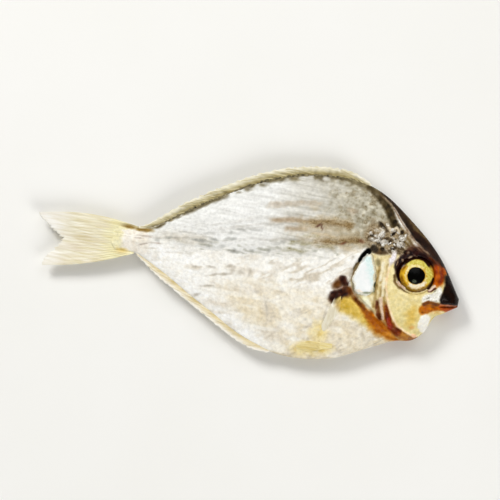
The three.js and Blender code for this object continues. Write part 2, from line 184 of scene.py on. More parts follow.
FLANK_DASHES = [(18.8, -3.3, 1.4, 0.3, 12), (21.6, -2.7, 0.9, 0.3, 5), (28.9, -2.3, 0.7, 0.8, 0),
                (27.0, -2.2, 0.6, 0.7, 0), (32.7, -6.3, 0.5, 0.4, 0), (21.7, -7.1, 1.3, 0.25, 12),
                (19.6, -9.7, 1.0, 0.3, 28), (39.0, -4.7, 0.35, 0.5, 0), (36.0, -9.0, 0.28, 2.2, 20),
                (50.0, -9.0, 0.28, 2.4, -3), (47.2, -14.7, 0.4, 0.3, 0), (54.5, -13.6, 0.4, 0.3, 0),
                (53.8, 5.7, 0.35, 0.4, 0), (49.5, 2.1, 0.4, 0.4, 0), (6.4, -1.2, 1.5, 0.22, 10),
                (3.8, -0.8, 0.5, 0.3, 30),
                (25.2, -3.7, 2.0, 0.3, 12), (22.6, -4.4, 1.4, 0.25, 15), (30.9, -2.0, 0.35, 1.0, 0),
                (26.4, -1.7, 0.9, 0.35, 10), (33.0, -6.4, 0.8, 0.5, 0), (43.8, -8.6, 0.5, 0.2, 10),
                (39.6, -9.0, 0.4, 0.3, 0), (45.6, -10.5, 0.5, 0.3, 0), (46.0, -12.3, 0.5, 0.25, 0)]
TAIL_DASHES = [(5.6, 1.5, 1.6, 0.2, 6), (8.2, 0.4, 1.3, 0.2, 8), (5.2, -0.4, 1.1, 0.18, 20),
               (4.0, 0.7, 0.8, 0.16, 10)]
TAIL_ORANGES = [(0.8, -2.7, 1.5, 0.7, 6)]
TAIL_BROWNS = [(1.4, 3.0, 2.0, 0.65, 0), (4.8, 2.9, 2.8, 0.6, 4)]

# Fins
TAIL_ROOT_X, TAIL_ROOT_TOP, TAIL_ROOT_BOTTOM = 3.5, 3.4, -3.0
TAIL_TIP_TOP, TAIL_TIP_BOTTOM = (-20.0, 2.4), (-17.0, -9.6)
TAIL_FORK, TAIL_FORK_EDGE = 0.205, (0.05, 0.5)
TAIL_BOW, TAIL_LOWER_BOW = 1.3, 0.7
TAIL_WAVE, TAIL_RIPPLE = 0.35, 0.12
TAIL_RAYS = 17
TAIL_RAY_SPAN, TAIL_RAY_LIFT = (0.08, 0.995), (0.2, 0.06)
BRANCH_ROOT, BRANCH_SPREAD = 0.06, 0.17  # how far the two branches of a ray stand from its middle
# Fins folded down along the back and belly
BACK_FIN = {"line": BACK_LINE, "side": 1, "front": 55, "rear": 3, "height": 2.2, "spines": 34, "lean": 6.5}
BELLY_FIN = {"line": BELLY_LINE, "side": -1, "front": 39, "rear": 4, "height": 1.7, "spines": 26,
             "lean": 5.0}
STRIP_SINK = 1.0  # how far they reach into the flesh
STRIP_RISE, STRIP_FALL = 7, 5  # how steeply they rise at the front and fall at the rear
STRIP_WAVE, STRIP_WAVES = 0.22, 19
STRIP_SCALLOPS, STRIP_FRAYS = 0.07, 0.1
STRIP_EDGE = 0.45, 0.95  # where the tones of the edge begin and are full
SPINE_SPAN, SPINE_FOOT, SPINE_REACH, SPINE_LIFT = (0.005, 0.995), 0.2, 0.6, 0.12
SPINE_SHIFTS, SPINE_SLANTS, SPINE_REACHES, SPINE_LIFTS = 0.3, 0.35, 0.08, 0.05  # how uneven they are
# Fins pressed on the skin; lead is the place across the fin of its longest ray
BREAST_FIN = {"x": 52.2, "y": -3.0, "length": 9.5, "spread": 2.8, "angle": -1.72, "rays": 9, "lead": 0.3}
PELVIC_FIN = {"x": 53.0, "y": -15.4, "length": 8.5, "spread": 2.6, "angle": 3.35, "rays": 6, "lead": 0.5}
BLADE_ROOT_SHARE, BLADE_ROUNDING = 0.35, 1.4
BLADE_LIFT, BLADE_SINK, BLADE_RIB = 0.09, 0.4, 0.04
BLADE_EDGE = 0.14, 0.34
BLADE_RAY_SPAN, BLADE_RAY_LIFT = (0.38, 0.98), 0.14
# Half thickness of the webs and radius of the rays, each at the root and at the tip
TAIL_WEB, STRIP_WEB = (0.34, 0.1), (0.3, 0.1)
TAIL_RAY, STRIP_SPINE, BLADE_RAY = (0.16, 0.06), (0.15, 0.06), (0.1, 0.05)
RAY_CLEARANCE = 0.2  # keeps the rays of the lower fins above the surface

# Scutes along the foot of the back fin, and loose flakes on the nape
SCUTE_SPACING, SCUTE_RADIUS, SCUTE_SHAPE, SCUTE_SIZES = 1.05, 0.42, (1.5, 0.75, 0.5), (0.35, 1.25)
SCUTE_SPAN, SCUTE_SHARE, SCUTE_LIFT = (0.01, 0.98), 0.3, 0.3
FLAKES_X, FLAKES_Y, FLAKES_HALF_X, FLAKES_HALF_Y = 61.2, 11.4, 4.4, 2.9
FLAKE_RADIUS, FLAKE_SHAPE, FLAKE_SIZES = 0.85, (1.0, 0.6, 0.09), (0.45, 1.3)
FLAKE_TILT, FLAKE_TURN = 0.25, 6.28  # the most that a flake is tilted and turned
FLAKES_PER_SQUARE_MM = 0.4
SCUTE_SEED, FLAKE_SEED, SPINE_SEED = 7, 5, 97

# Mesh fineness
TRUNK_COLUMNS, HEAD_COLUMNS, SNOUT_COLUMNS = 180, 215, 20
SNOUT_START = 78.0
TOP_ROWS, UNDER_ROWS = 180, 45
EDGE_CROWDING = 0.3
EYE_SEGMENTS, EYE_RINGS = 96, 44
PLATE_SEGMENTS, PLATE_RINGS = 90, 28
TAIL_COLUMNS_A_RAY, TAIL_ROWS = 8, 64
STRIP_COLUMNS_A_SPINE, STRIP_ROWS = 10, 12
BLADE_CELLS, NAPE_CELLS = 40, 40
TAIL_RAY_POINTS, SPINE_POINTS, BLADE_RAY_POINTS, SCUTE_LINE_POINTS = 24, 12, 16, 80
RAY_SIDES = 6
SCUTE_FINENESS, FLAKE_FINENESS = 2, 1

# Patterns of the skin
STREAK_SPREAD, STREAK_SEED = 14, 11
CREASE_SLANT = 0.6
WEAR = 0.2  # how deep the grain eats into the edges of the paint


# Curves and noise

def mix(a, b, t):
    return a + (b - a) * t


def smooth(low, high, value):
    t = np.clip((value - low) / (high - low), 0, 1)
    return t * t * (3 - 2 * t)


def ridge(distance, width):
    return np.exp(-(distance / width) ** 2)


def along(landmarks, position):
    """A smooth curve through landmarks (place, size), with slopes from each landmark's neighbours."""
    places, sizes = np.array(landmarks, float).T
    last = len(places) - 1
    before = np.maximum(np.arange(last + 1) - 1, 0)
    after = np.minimum(np.arange(last + 1) + 1, last)
    slopes = (sizes[after] - sizes[before]) / (places[after] - places[before])
    i = np.clip(np.searchsorted(places, position) - 1, 0, last - 1)
    span = places[i + 1] - places[i]
    t = np.clip((position - places[i]) / span, 0, 1)
    rest = 1 - t
    start = sizes[i] * (1 + 2 * t) * rest**2 + slopes[i] * span * t * rest**2
    end = sizes[i + 1] * t**2 * (3 - 2 * t) - slopes[i + 1] * span * t**2 * rest
    return start + end


LATTICE = 256


def noise(x, y, size, seed):
    """Smooth random waves from -1 to 1. Size is their length, or a pair of lengths along x and y."""
    size_x, size_y = np.broadcast_to(size, 2)
    values = np.random.default_rng(seed).uniform(-1, 1, (LATTICE, LATTICE))
    u, v = x / size_x, y / size_y
    i, j = np.floor(u).astype(int), np.floor(v).astype(int)
    s, t = smooth(0, 1, u - i), smooth(0, 1, v - j)

    def value(a, b):
        return values[(i + a) % LATTICE, (j + b) % LATTICE]

    return mix(mix(value(0, 0), value(1, 0), s), mix(value(0, 1), value(1, 1), s), t)


def rough(x, y, size, seed, octaves=3):
    """Noise with finer noise on it, each octave turned so that no grid shows."""
    total = 0
    for k in range(octaves):
        c, s = math.cos(0.9 * k + 0.4), math.sin(0.9 * k + 0.4)
        total = total + noise(c * x + s * y, c * y - s * x, size / 2**k, seed + k) / 2**k
    return total / (2 - 2 ** (1 - octaves))


def cells(x, y, size, seed):
    """Scale-like cells: the distances to the two nearest centres, and the cell's own random value."""
    size_x, size_y = np.broadcast_to(size, 2)
    jitter = np.random.default_rng(seed).uniform(0.1, 0.9, (3, LATTICE, LATTICE))
    u, v = x / size_x, y / size_y
    i, j = np.floor(u).astype(int), np.floor(v).astype(int)
    nearest = np.full(np.shape(u), 9.0)
    second = np.full(np.shape(u), 9.0)
    own = np.zeros(np.shape(u))
    for a in (-1, 0, 1):
        for b in (-1, 0, 1):
            shift_x, shift_y, value = jitter[:, (i + a) % LATTICE, (j + b) % LATTICE]
            distance = np.hypot(i + a + shift_x - u, j + b + shift_y - v)
            closer = distance < nearest
            second = np.where(closer, nearest, np.minimum(second, distance))
            own = np.where(closer, value, own)
            nearest = np.minimum(nearest, distance)
    return nearest, second, own


def line_distance(x, y, points):
    """Distance to a line through points, and how far along it the nearest place lies, from 0 to 1."""
    points = np.array(points, float)
    steps = np.hypot(*np.diff(points, axis=0).T)
    starts = np.cumsum(steps) - steps
    best = np.full(np.shape(x), np.inf)
    share = np.zeros(np.shape(x))
    for (ax, ay), (bx, by), step, start in zip(points[:-1], points[1:], steps, starts):
        t = np.clip(((x - ax) * (bx - ax) + (y - ay) * (by - ay)) / step**2, 0, 1)
        distance = np.hypot(x - mix(ax, bx, t), y - mix(ay, by, t))
        closer = distance < best
        best = np.where(closer, distance, best)
        share = np.where(closer, (start + t * step) / steps.sum(), share)
    return best, share


def stroke(x, y, points, half_width, soft, end_width=None):
    """A painted line: 1 within its half width, which may change towards its end, fading to 0 over soft."""
    distance, share = line_distance(x, y, points)
    width = mix(half_width, half_width if end_width is None else end_width, share)
    return 1 - smooth(width, width + soft, distance)


def strokes(x, y, lines, half_width, soft):
    return np.max([stroke(x, y, line, half_width, soft) for line in lines], 0)


def faded_strokes(x, y, lines, half_width, soft, full=0.3, fading=0.7):
    """Painted lines that fade out at both ends, and are full between two shares of their length."""
    cover = np.zeros(np.shape(x))
    for line in lines:
        distance, share = line_distance(x, y, line)
        fade = smooth(0, full, share) * (1 - smooth(fading, 1, share))
        cover = np.maximum(cover, fade * (1 - smooth(half_width, half_width + soft, distance)))
    return cover


def spots(x, y, marks, inner=0.65, outer=1.25):
    """Soft ovals, each given by its centre, half sizes and turn."""
    cover = np.zeros(np.shape(x))
    for centre_x, centre_y, half_x, half_y, degrees in marks:
        c, s = math.cos(math.radians(degrees)), math.sin(math.radians(degrees))
        u = (c * (x - centre_x) + s * (y - centre_y)) / half_x
        v = (c * (y - centre_y) - s * (x - centre_x)) / half_y
        cover = np.maximum(cover, 1 - smooth(inner, outer, np.hypot(u, v)))
    return cover


# The fish's form

def middle(x):
    tail = np.maximum(0, DROOP_START - x) / (DROOP_START - TAIL_TIP_TOP[0])
    return MID_HEIGHT - TAIL_DROOP * tail**2


def edge_line(edge):
    """The points of a head edge given as (y, x) landmarks."""
    heights = np.linspace(edge[0][0], edge[-1][0], 40)
    return np.stack([along(edge, heights), heights], -1)


def plate_share(x, y):
    """Distance from the middle of the egg-shaped gill plate, 1 at its rim."""
    half_x = PLATE_HALF_X * np.maximum(0.2, 1 - PLATE_NARROWING * (y - 1))
    return np.hypot((x - PLATE_X) / half_x, (y - PLATE_Y) / PLATE_HALF_Y)


def fin_root_shape(x, y):
    """The dark stumps that the breast fin grows from."""
    return np.maximum(stroke(x, y, FIN_ROOT_UPPER, 0.5, 0.7), stroke(x, y, FIN_ROOT_LOWER, 1.0, 0.8, 0.4))


def places(x, y):
    """Where points lie on the fish's side, as distances that both the relief and the paint use."""
    border = along(COLOUR_BORDER, x)
    back = along(BACK_LINE, x)
    gill_distance, _ = line_distance(x, y, edge_line(GILL_EDGE))
    cheek_distance, _ = line_distance(x, y, edge_line(CHEEK_EDGE))
    brow_distance, _ = line_distance(x, y, BROW_RIDGE)
    mouth, mouth_share = line_distance(x, y, MOUTH)
    band, band_share = line_distance(x, y, SHOULDER_BAND)
    return {
        "eye": np.hypot(x - EYE_X, y - EYE_Y),
        "eye_angle": np.degrees(np.arctan2(y - EYE_Y, x - EYE_X)),
        "gill": gill_distance * np.where(x > along(GILL_EDGE, y), 1, -1),  # positive in front of the opening
        "cheek": cheek_distance * np.where(x > along(CHEEK_EDGE, y), 1, -1),  # positive on the cheek
        "brow": brow_distance * np.where(y > along(BROW_RIDGE, x), 1, -1),  # positive on the forehead
        "plate": plate_share(x, y),
        "nape": np.hypot((x - NAPE_X) / NAPE_HALF_X, (y - NAPE_Y) / NAPE_HALF_Y),
        "mouth": mouth,
        "mouth_share": mouth_share,
        "band": band,
        "band_share": band_share,
        "border": y - border,
        "height": (y - border) / np.maximum(back - border, 1),  # 0 at the colour border, 1 at the back
        "below_back": back - y,
    }


def behind_gill(p):
    return smooth(0.3, -0.3, p["gill"])


def streak_pattern(x, p):
    """Thin muscle lines that run along the side and close up towards the tail."""
    level = p["height"] * STREAK_SPREAD
    return noise(x, level, (13, 0.75), STREAK_SEED) + 0.6 * noise(x, level, (6, 0.4), STREAK_SEED + 1)


def scale_cells(x, y):
    return cells(x + 0.25 * noise(x, y, 2, 31), y + 0.25 * noise(x, y, 2, 32), (1.05, 0.8), 33)


def wrinkle_lines(x, y, p):
    """Soft wavy creases of the dried belly skin, along the side at the rear and slanting up in front."""
    drift = 1.2 * rough(x, y, 6, 34)
    c, s = math.cos(CREASE_SLANT), math.sin(CREASE_SLANT)
    rear = noise(x, p["border"] + 0.5 * drift, (6.5, 1.2), 35)
    front = noise(c * x + s * y + drift, c * y - s * x + 0.3 * drift, (3.4, 0.8), 36)
    pattern = mix(rear, front, smooth(24, 42, x))
    return smooth(0.55, 1.0, 1 - np.abs(pattern)) * smooth(-0.3, 0.6, noise(x, y, 3.2, 37))


def head_relief(x, y, p):
    """How far the head's bones, edges and grooves stand out, in millimetres."""
    opening = smooth(-10.5, -8.5, y) * (1 - smooth(7.5, 9.5, y))
    cover_fade = (1 - smooth(7.5, 12.5, y)) * (1 - smooth(70, 78, x))
    cover = 0.5 * smooth(0, 0.5, p["gill"]) * cover_fade
    gap = 0.5 * ridge(p["gill"] + 0.3, 0.4) * opening + 0.9 * stroke(x, y, GILL_GAP, 0.4, 0.4)
    plate = 0.2 * (1 - smooth(0.9, 1.06, p["plate"])) - 0.15 * ridge(p["plate"] - 1.14, 0.08)
    on_cheek_edge = smooth(-10.4, -9.6, y) * (1 - smooth(6.2, 7.4, y))
    cheek = 0.35 * ridge(p["cheek"], 0.3) * on_cheek_edge
    grooves = 0.5 * stroke(x, y, RED_GROOVE, 0.2, 0.8) + 0.4 * stroke(x, y, DARK_GROOVE, 0.2, 0.5)
    grooves = grooves + 0.3 * stroke(x, y, GILL_LINE, 0.2, 0.5)
    grooves = grooves + 0.15 * strokes(x, y, STRIP_GAPS, 0.1, 0.3)
    bones = 0.2 * strokes(x, y, STRIP_BONES, 0.15, 0.35) + 0.2 * stroke(x, y, GROOVE_BONE, 0.2, 0.35)
    bones = bones + 0.3 * spots(x, y, JAW_BONE + UNDER_EYE_BONE + LILAC_BONE) + 0.2 * spots(x, y, CHIN)
    eye = 0.3 * ridge(p["eye"] - 5.4, 0.5) - 1.3 * (1 - smooth(4.0, 4.75, p["eye"]))
    specks = 0.25 * spots(x, y, SOCKET_SPECKS_AND_GLINTS)
    brow = 0.35 * ridge(p["brow"], 0.45) * smooth(56, 58, x) * (1 - smooth(70.5, 72, x))
    brow = brow - 0.3 * stroke(x, y, BROW_GROOVE, 0.3, 0.8)
    slit = ridge(p["mouth"], 0.22) * smooth(0.35, 0.7, p["mouth_share"])
    lips = 0.35 * ridge(p["mouth"] - 0.75, 0.45) - 0.6 * slit
    snout = 0.25 * spots(x, y, SNOUT_BULGE) + 0.2 * spots(x, y, AMBER, 0.2, 1.1)
    nape = 0.4 * spots(x, y, NAPE_WHITES_AND_GLINTS) - 0.45 * spots(x, y, NAPE_DARKS)
    nape = nape + 0.3 * stroke(x, y, NAPE_ZIGZAG, 0.2, 0.3)
    return cover - gap + plate + cheek - grooves + bones + eye + specks + brow + lips + snout + nape


def trunk_relief(x, y, p):
    """How far the backbone, scales and creases behind the head stand out, in millimetres."""
    behind = behind_gill(p)
    fade = smooth(0, 6, x) * (1 - smooth(42, 50, x))
    backbone = 0.3 * fade * ridge(y - along(THICKEST_LINE, x), 1.5)
    streaks = 0.05 * streak_pattern(x, p) * smooth(-0.15, 0.1, p["height"]) * behind
    nearest, second, own = scale_cells(x, y)
    on_belly = smooth(0.5, -1.5, p["border"]) * smooth(4, 14, x) * behind
    scales = (0.05 * smooth(0.05, 0.35, second - nearest) + 0.03 * own) * on_belly
    wrinkles = -0.07 * wrinkle_lines(x, y, p) * on_belly - 0.06 * spots(x, y, FLANK_DASHES + GREY_DASHES)
    band = 0.35 * ridge(p["band"], 1.5)
    roots = 0.6 * np.maximum(fin_root_shape(x, y), spots(x, y, FIN_ROOT_BROWN, 0.3, 1.2))
    return backbone + streaks + scales + wrinkles + band + roots


def dried_relief(x, y, p):
    """The shrunken, uneven surface of the dried skin, roughest at the nape."""
    folds = 0.13 * rough(x, y, 8, 41) + 0.05 * rough(x, y, 2.4, 44)
    nape = (1 - smooth(0.8, 1.15, p["nape"])) * 0.22 * rough(x, y, 1.2, 47)
    return folds * smooth(3.6, 5.5, p["eye"]) + nape


def half_thickness(x, y, detail=True):
    """Half the thickness of the fish at points of its side."""
    thickest = along(THICKEST_LINE, x)
    above = y > thickest
    edge = np.where(above, along(BACK_LINE, x), along(BELLY_LINE, x))
    share = np.clip((y - thickest) / (edge - thickest), 0, 1)
    bulge = (1 - share**2) ** np.where(above, BACK_FULLNESS, BELLY_FULLNESS)
    inset = 1 - np.clip(np.abs(edge - y) / EDGE_ROUND, 0, 1)
    rim = RIM_HALF + (EDGE_HALF - RIM_HALF) * np.sqrt(1 - inset**2)
    half = rim + (along(HALF_THICKNESS, x) - EDGE_HALF) * bulge
    if detail:
        p = places(x, y)
        relief = head_relief(x, y, p) + trunk_relief(x, y, p) + dried_relief(x, y, p)
        half = half + relief * smooth(0, 0.25, bulge)
    nose = np.clip((x - BODY_LENGTH + SNOUT_ROUND) / SNOUT_ROUND, 0, 1)
    return np.maximum(half * np.sqrt(1 - 0.95 * nose**2), RIM_HALF)


# Paint: how much of each colour lies on the skin

def trunk_paint(x, y, p):
    behind = behind_gill(p)
    ragged = p["border"] + 0.8 * noise(x, y, (5, 0.9), 51) + 0.4 * noise(x, y, (2, 0.5), 52)
    reach = mix(1.0, 2.6, smooth(18, 38, x))
    back = smooth(-reach, reach, ragged) * behind
    back_front = smooth(42, 54, x + 0.25 * (y - 12) + 2.5 * noise(x, y, (7, 1.2), 59))
    on_belly = smooth(1.0, -1.5, ragged) * behind
    above_belly = y - along(BELLY_LINE, x)
    warm_part = np.maximum(0.5 + 0.5 * smooth(2, 7, above_belly), smooth(34, 42, x))
    pale_rear = smooth(24, 14, x) * smooth(1.5, -1.5, y)
    # painted light along the belly's edge, against the shade of its curve
    painted_edge_light = smooth(5, 1, above_belly) * (1 - smooth(32, 40, x))
    # painted highlights in soft white clouds over the belly
    highlight_clouds = smooth(0.0, 0.6, noise(x + 0.5 * y, y, (4.0, 1.1), 56)) * on_belly
    near_border = ridge(p["border"] - 0.5, 2.2) * smooth(8, 20, x) * behind
    over_border = ridge(p["border"] - 2.0, 1.5) * smooth(6, 11, x) * (1 - smooth(15, 24, x))
    broken = smooth(-0.5, 0.6, noise(x, y, (3, 0.6), 53))
    frayed = smooth(-0.5, 0.5, noise(x, y, (1.4, 0.35), 54))
    dashes = smooth(0.25, 0.8, noise(x, y + 0.3 * noise(x, y, 3, 64), (1.6, 0.4), 65))
    streaks = smooth(0.1, 1.1, streak_pattern(x, p)) * (0.3 + 0.7 * smooth(0.75, 0.2, p["height"]))
    edge_width = mix(0.5, 0.95, smooth(10, 42, x))
    flesh_end = x - 0.2 * (y + 0.2) ** 2 + 0.8 * noise(x, y, (3, 0.6), 73)
    band_half = mix(2.1, 0.9, p["band_share"])
    band = 1 - smooth(band_half - 1.2, band_half + mix(1.8, 0.9, p["band_share"]), p["band"])
    return {
        "belly_warmth": smooth(17, 31, x) * smooth(0.5, -9, y) * warm_part
        * (0.7 + 0.2 * noise(x, y, 4, 55)),
        # a paler rear belly, and painted light along the belly's edge
        "rear_light": np.maximum(pale_rear, painted_edge_light) * smooth(5, 8, x),
        "beige_patches": spots(x, y, BEIGE_PATCHES, 0.0, 1.6) * 0.7,
        # painted shade along the creases of the dried belly skin
        "wrinkles": wrinkle_lines(x, y, p) * on_belly * mix(0.35, 0.8, smooth(16, 46, x)),
        "flank_dashes": spots(x, y, FLANK_DASHES, 0.0, 2.0) * 0.75,
        # painted highlights: white patches and clouds on the belly
        "flank_lights": np.maximum(highlight_clouds * 0.5, spots(x, y, FLANK_HIGHLIGHTS, 0.0, 1.6) * 0.8),
        "back_grey": back,
        "back_warm": over_border * (0.6 + 0.4 * broken),
        "back_mid": back * smooth(30, 41, x) * 0.85,
        "back_front": back * back_front * (0.85 + 0.15 * noise(x, y, 5, 57)),
        "back_mottle": back * smooth(42, 52, x) * smooth(0.0, 0.6, rough(0.7 * x, y, 1.0, 66)) * 0.7,
        "streaks": back * streaks * mix(0.4, 0.65, smooth(30, 42, x)),
        "tan_lines": faded_strokes(x, y, TAN_LINES, 0.1, 1.1, 0.2) * (0.5 + 0.5 * broken) * 0.9,
        "grey_lines": faded_strokes(x, y, GREY_LINES, 0.1, 0.7) * broken * 0.55,
        "olive_lines": faded_strokes(x, y, OLIVE_LINES, 0.1, 0.8) * (0.35 + 0.45 * frayed),
        "grey_dashes": spots(x, y, GREY_DASHES, 0.0, 2.0) * (0.5 + 0.5 * broken) * 0.8,
        "border_dashes": near_border * dashes * 0.6,
        "back_tan": spots(x, y, BACK_TANS, 0.2, 1.4) * (0.4 + 0.3 * broken),
        "brown_halo": faded_strokes(x, y, BROWN_LINES, 0.3, 2.2, 0.5, 0.85) * (0.4 + 0.3 * broken),
        "brown_lines": faded_strokes(x, y, BROWN_LINES, 0.1, 1.1, 0.7, 0.85) * (0.55 + 0.45 * frayed),
        "nape_side": spots(x, y, NAPE_SIDE, 0.2, 1.5) * (0.7 + 0.3 * noise(x, y, (1.4, 0.8), 90)),
        "gill_browns": spots(x, y, GILL_BROWNS, 0.0, 1.7),
        "flank_spot": spots(x, y, FLANK_SPOT, 0.3, 1.4),
        "back_edge": ridge(p["below_back"] - 0.4, edge_width) * smooth(3, 8, x) * (1 - smooth(57, 60, x))
        * smooth(-0.8, 0.3, noise(x, y, (1.7, 0.9), 58)),
        "tail_pale": (1 - smooth(4, 9, x)) * smooth(3.2, 2.0, np.abs(y)),
        "tail_dashes": spots(x, y, TAIL_DASHES, 0.0, 2.0) * 0.7,
        "tail_gold": smooth(0.7, -1.2, flesh_end) * (1 - smooth(2, 4, x)),
        "tail_orange": spots(x, y, TAIL_ORANGES, 0.1, 1.5),
        "tail_brown": spots(x, y, TAIL_BROWNS, 0.2, 1.4),
        "belly_yellow": spots(x, y, BELLY_YELLOWS, 0.0, 1.9) * (0.75 + 0.3 * rough(x, y, 1.6, 60)),
        "band_gold": band * smooth(0.75, 0.35, p["band_share"]),
        "band_brown": band * smooth(0.3, 0.6, p["band_share"]),
        "band_orange": stroke(x, y, BAND_ORANGE, 0.3, 1.4, 0.6) * smooth(55.8, 59.8, x),
        # golden throat, partly painted light against the shade of the lower edge
        "throat_gold": spots(x, y, THROAT_GOLD_AND_LIGHT, 0.2, 1.6),
        "fin_root_brown": spots(x, y, FIN_ROOT_BROWN, 0.4, 1.6) * (0.9 + 0.1 * noise(x, y, 0.7, 77)),
        "fin_roots": fin_root_shape(x, y) * (0.9 + 0.1 * noise(x, y, 0.6, 80)),
        "fin_root_pale": spots(x, y, FIN_ROOT_PALE, 0.2, 1.4),
    }


def nape_paint(x, y, p):
    parallel = 0.5 + 0.5 * np.cos(2 * math.pi * p["brow"] / 0.9)
    zone = (1 - smooth(0.75, 1.25, p["nape"])) * smooth(7.0, 8.2, y)
    drift_x, drift_y = 0.5 * rough(x, y, 1.1, 61), 0.5 * rough(x, y, 1.1, 62)
    nearest, second, own = cells(x + drift_x, y + drift_y, (1.25, 0.8), 63)
    bit = smooth(0.0, 0.3, second - nearest)
    inside_brow = smooth(-3.0, -2.2, p["brow"]) * smooth(-0.2, -0.5, p["brow"]) * smooth(62.5, 64, x)
    along_brow = smooth(56, 59, x) * (1 - smooth(70.5, 72, x))
    second_ridge = 0.6 * ridge(p["brow"] + 0.75, 0.18) * smooth(60, 62, x)
    return {
        "nape": (1 - smooth(0.8, 1.5, p["nape"])) * smooth(6.8, 8.2, y),
        "nape_cracks": zone * smooth(0.5, 0.3, own) * (0.4 + 0.6 * bit),
        "nape_bits": zone * smooth(0.6, 0.75, own) * bit * 0.8,
        "nape_olive": parallel * inside_brow * 0.8,
        "brow_groove": stroke(x, y, BROW_GROOVE, 0.2, 1.1, 0.5) * (0.7 + 0.2 * smooth(56, 60, x))
        * (1 + 0.1 * noise(x, y, 0.9, 87)),
        "nape_shadow": spots(x, y, NAPE_SHADOW, 0.4, 1.4),
        "nape_darks": spots(x, y, NAPE_DARKS, 0.4, 1.5),
        "nape_cream": stroke(x, y, NAPE_ZIGZAG, 0.15, 0.5) * 0.8,
        # white bits of broken scale, partly painted glints
        "nape_lights": spots(x, y, NAPE_WHITES_AND_GLINTS, 0.45, 1.4) * (0.45 + 0.55 * smooth(0.1, 0.5, own)),
        "brow_outer": smooth(0.9, 1.6, p["brow"]) * smooth(57, 60, x),
        "brow_dark": smooth(0.1, 0.5, p["brow"]) * (1 - smooth(1.1, 1.9, p["brow"])) * along_brow,
        "brow_ridge": np.maximum(ridge(p["brow"], 0.25), second_ridge) * along_brow
        * (0.75 + 0.25 * rough(x, y, 1.0, 67)),
    }


def gill_paint(x, y, p):
    front = smooth(-0.15, 0.2, p["gill"]) * (1 - smooth(7.0, 8.0, y - 0.1 * (x - 57)))
    behind_cheek = smooth(-3.8, -0.8, p["cheek"]) * smooth(0.1, -0.1, p["cheek"])
    return {
        "gill_cover": front,
        "plate_seat": 1 - smooth(1.0, 1.1, p["plate"]),
        "under_plate": spots(x, y, UNDER_PLATE, 0.4, 1.3),
        "gill_tan": spots(x, y, GILL_TANS, 0.1, 1.6),
        "gill_grey": spots(x, y, GILL_GREYS, 0.2, 1.6) * 0.9,
        "gill_green": spots(x, y, GILL_GREENS, 0.3, 1.5),
        "strip_gaps": strokes(x, y, STRIP_GAPS, 0.05, 0.55) * (0.6 + 0.4 * noise(x, y, (0.6, 1.8), 74)),
        "strip_bones": strokes(x, y, STRIP_BONES, 0.1, 0.6) * 0.85,
        "cheek_shadow": behind_cheek * smooth(-2.0, -5.0, y),
        "red_groove": stroke(x, y, RED_GROOVE, 0.0, 0.8, 0.5) * (0.85 + 0.15 * noise(x, y, 0.8, 76)),
        "red_core": stroke(x, y, RED_CORE, 0.2, 0.8) * 0.8,
        "dark_groove": stroke(x, y, DARK_GROOVE, 0.0, 0.6, 0.25) * (0.85 + 0.15 * noise(x, y, 0.8, 78)),
        "groove_bone": stroke(x, y, GROOVE_BONE, 0.2, 0.5, 0.05),
        "gill_line": stroke(x, y, GILL_LINE, 0.3, 0.9, 0.0) * (0.8 + 0.2 * noise(x, y, 1.0, 72)),
        "gill_gap_tail": stroke(x, y, GILL_GAP_TAIL, 0.2, 0.4, 0.0),
        # painted shade: the gap above the gill cover painted black
        "gill_gap": stroke(x, y, GILL_GAP, 0.5, 0.4),
    }


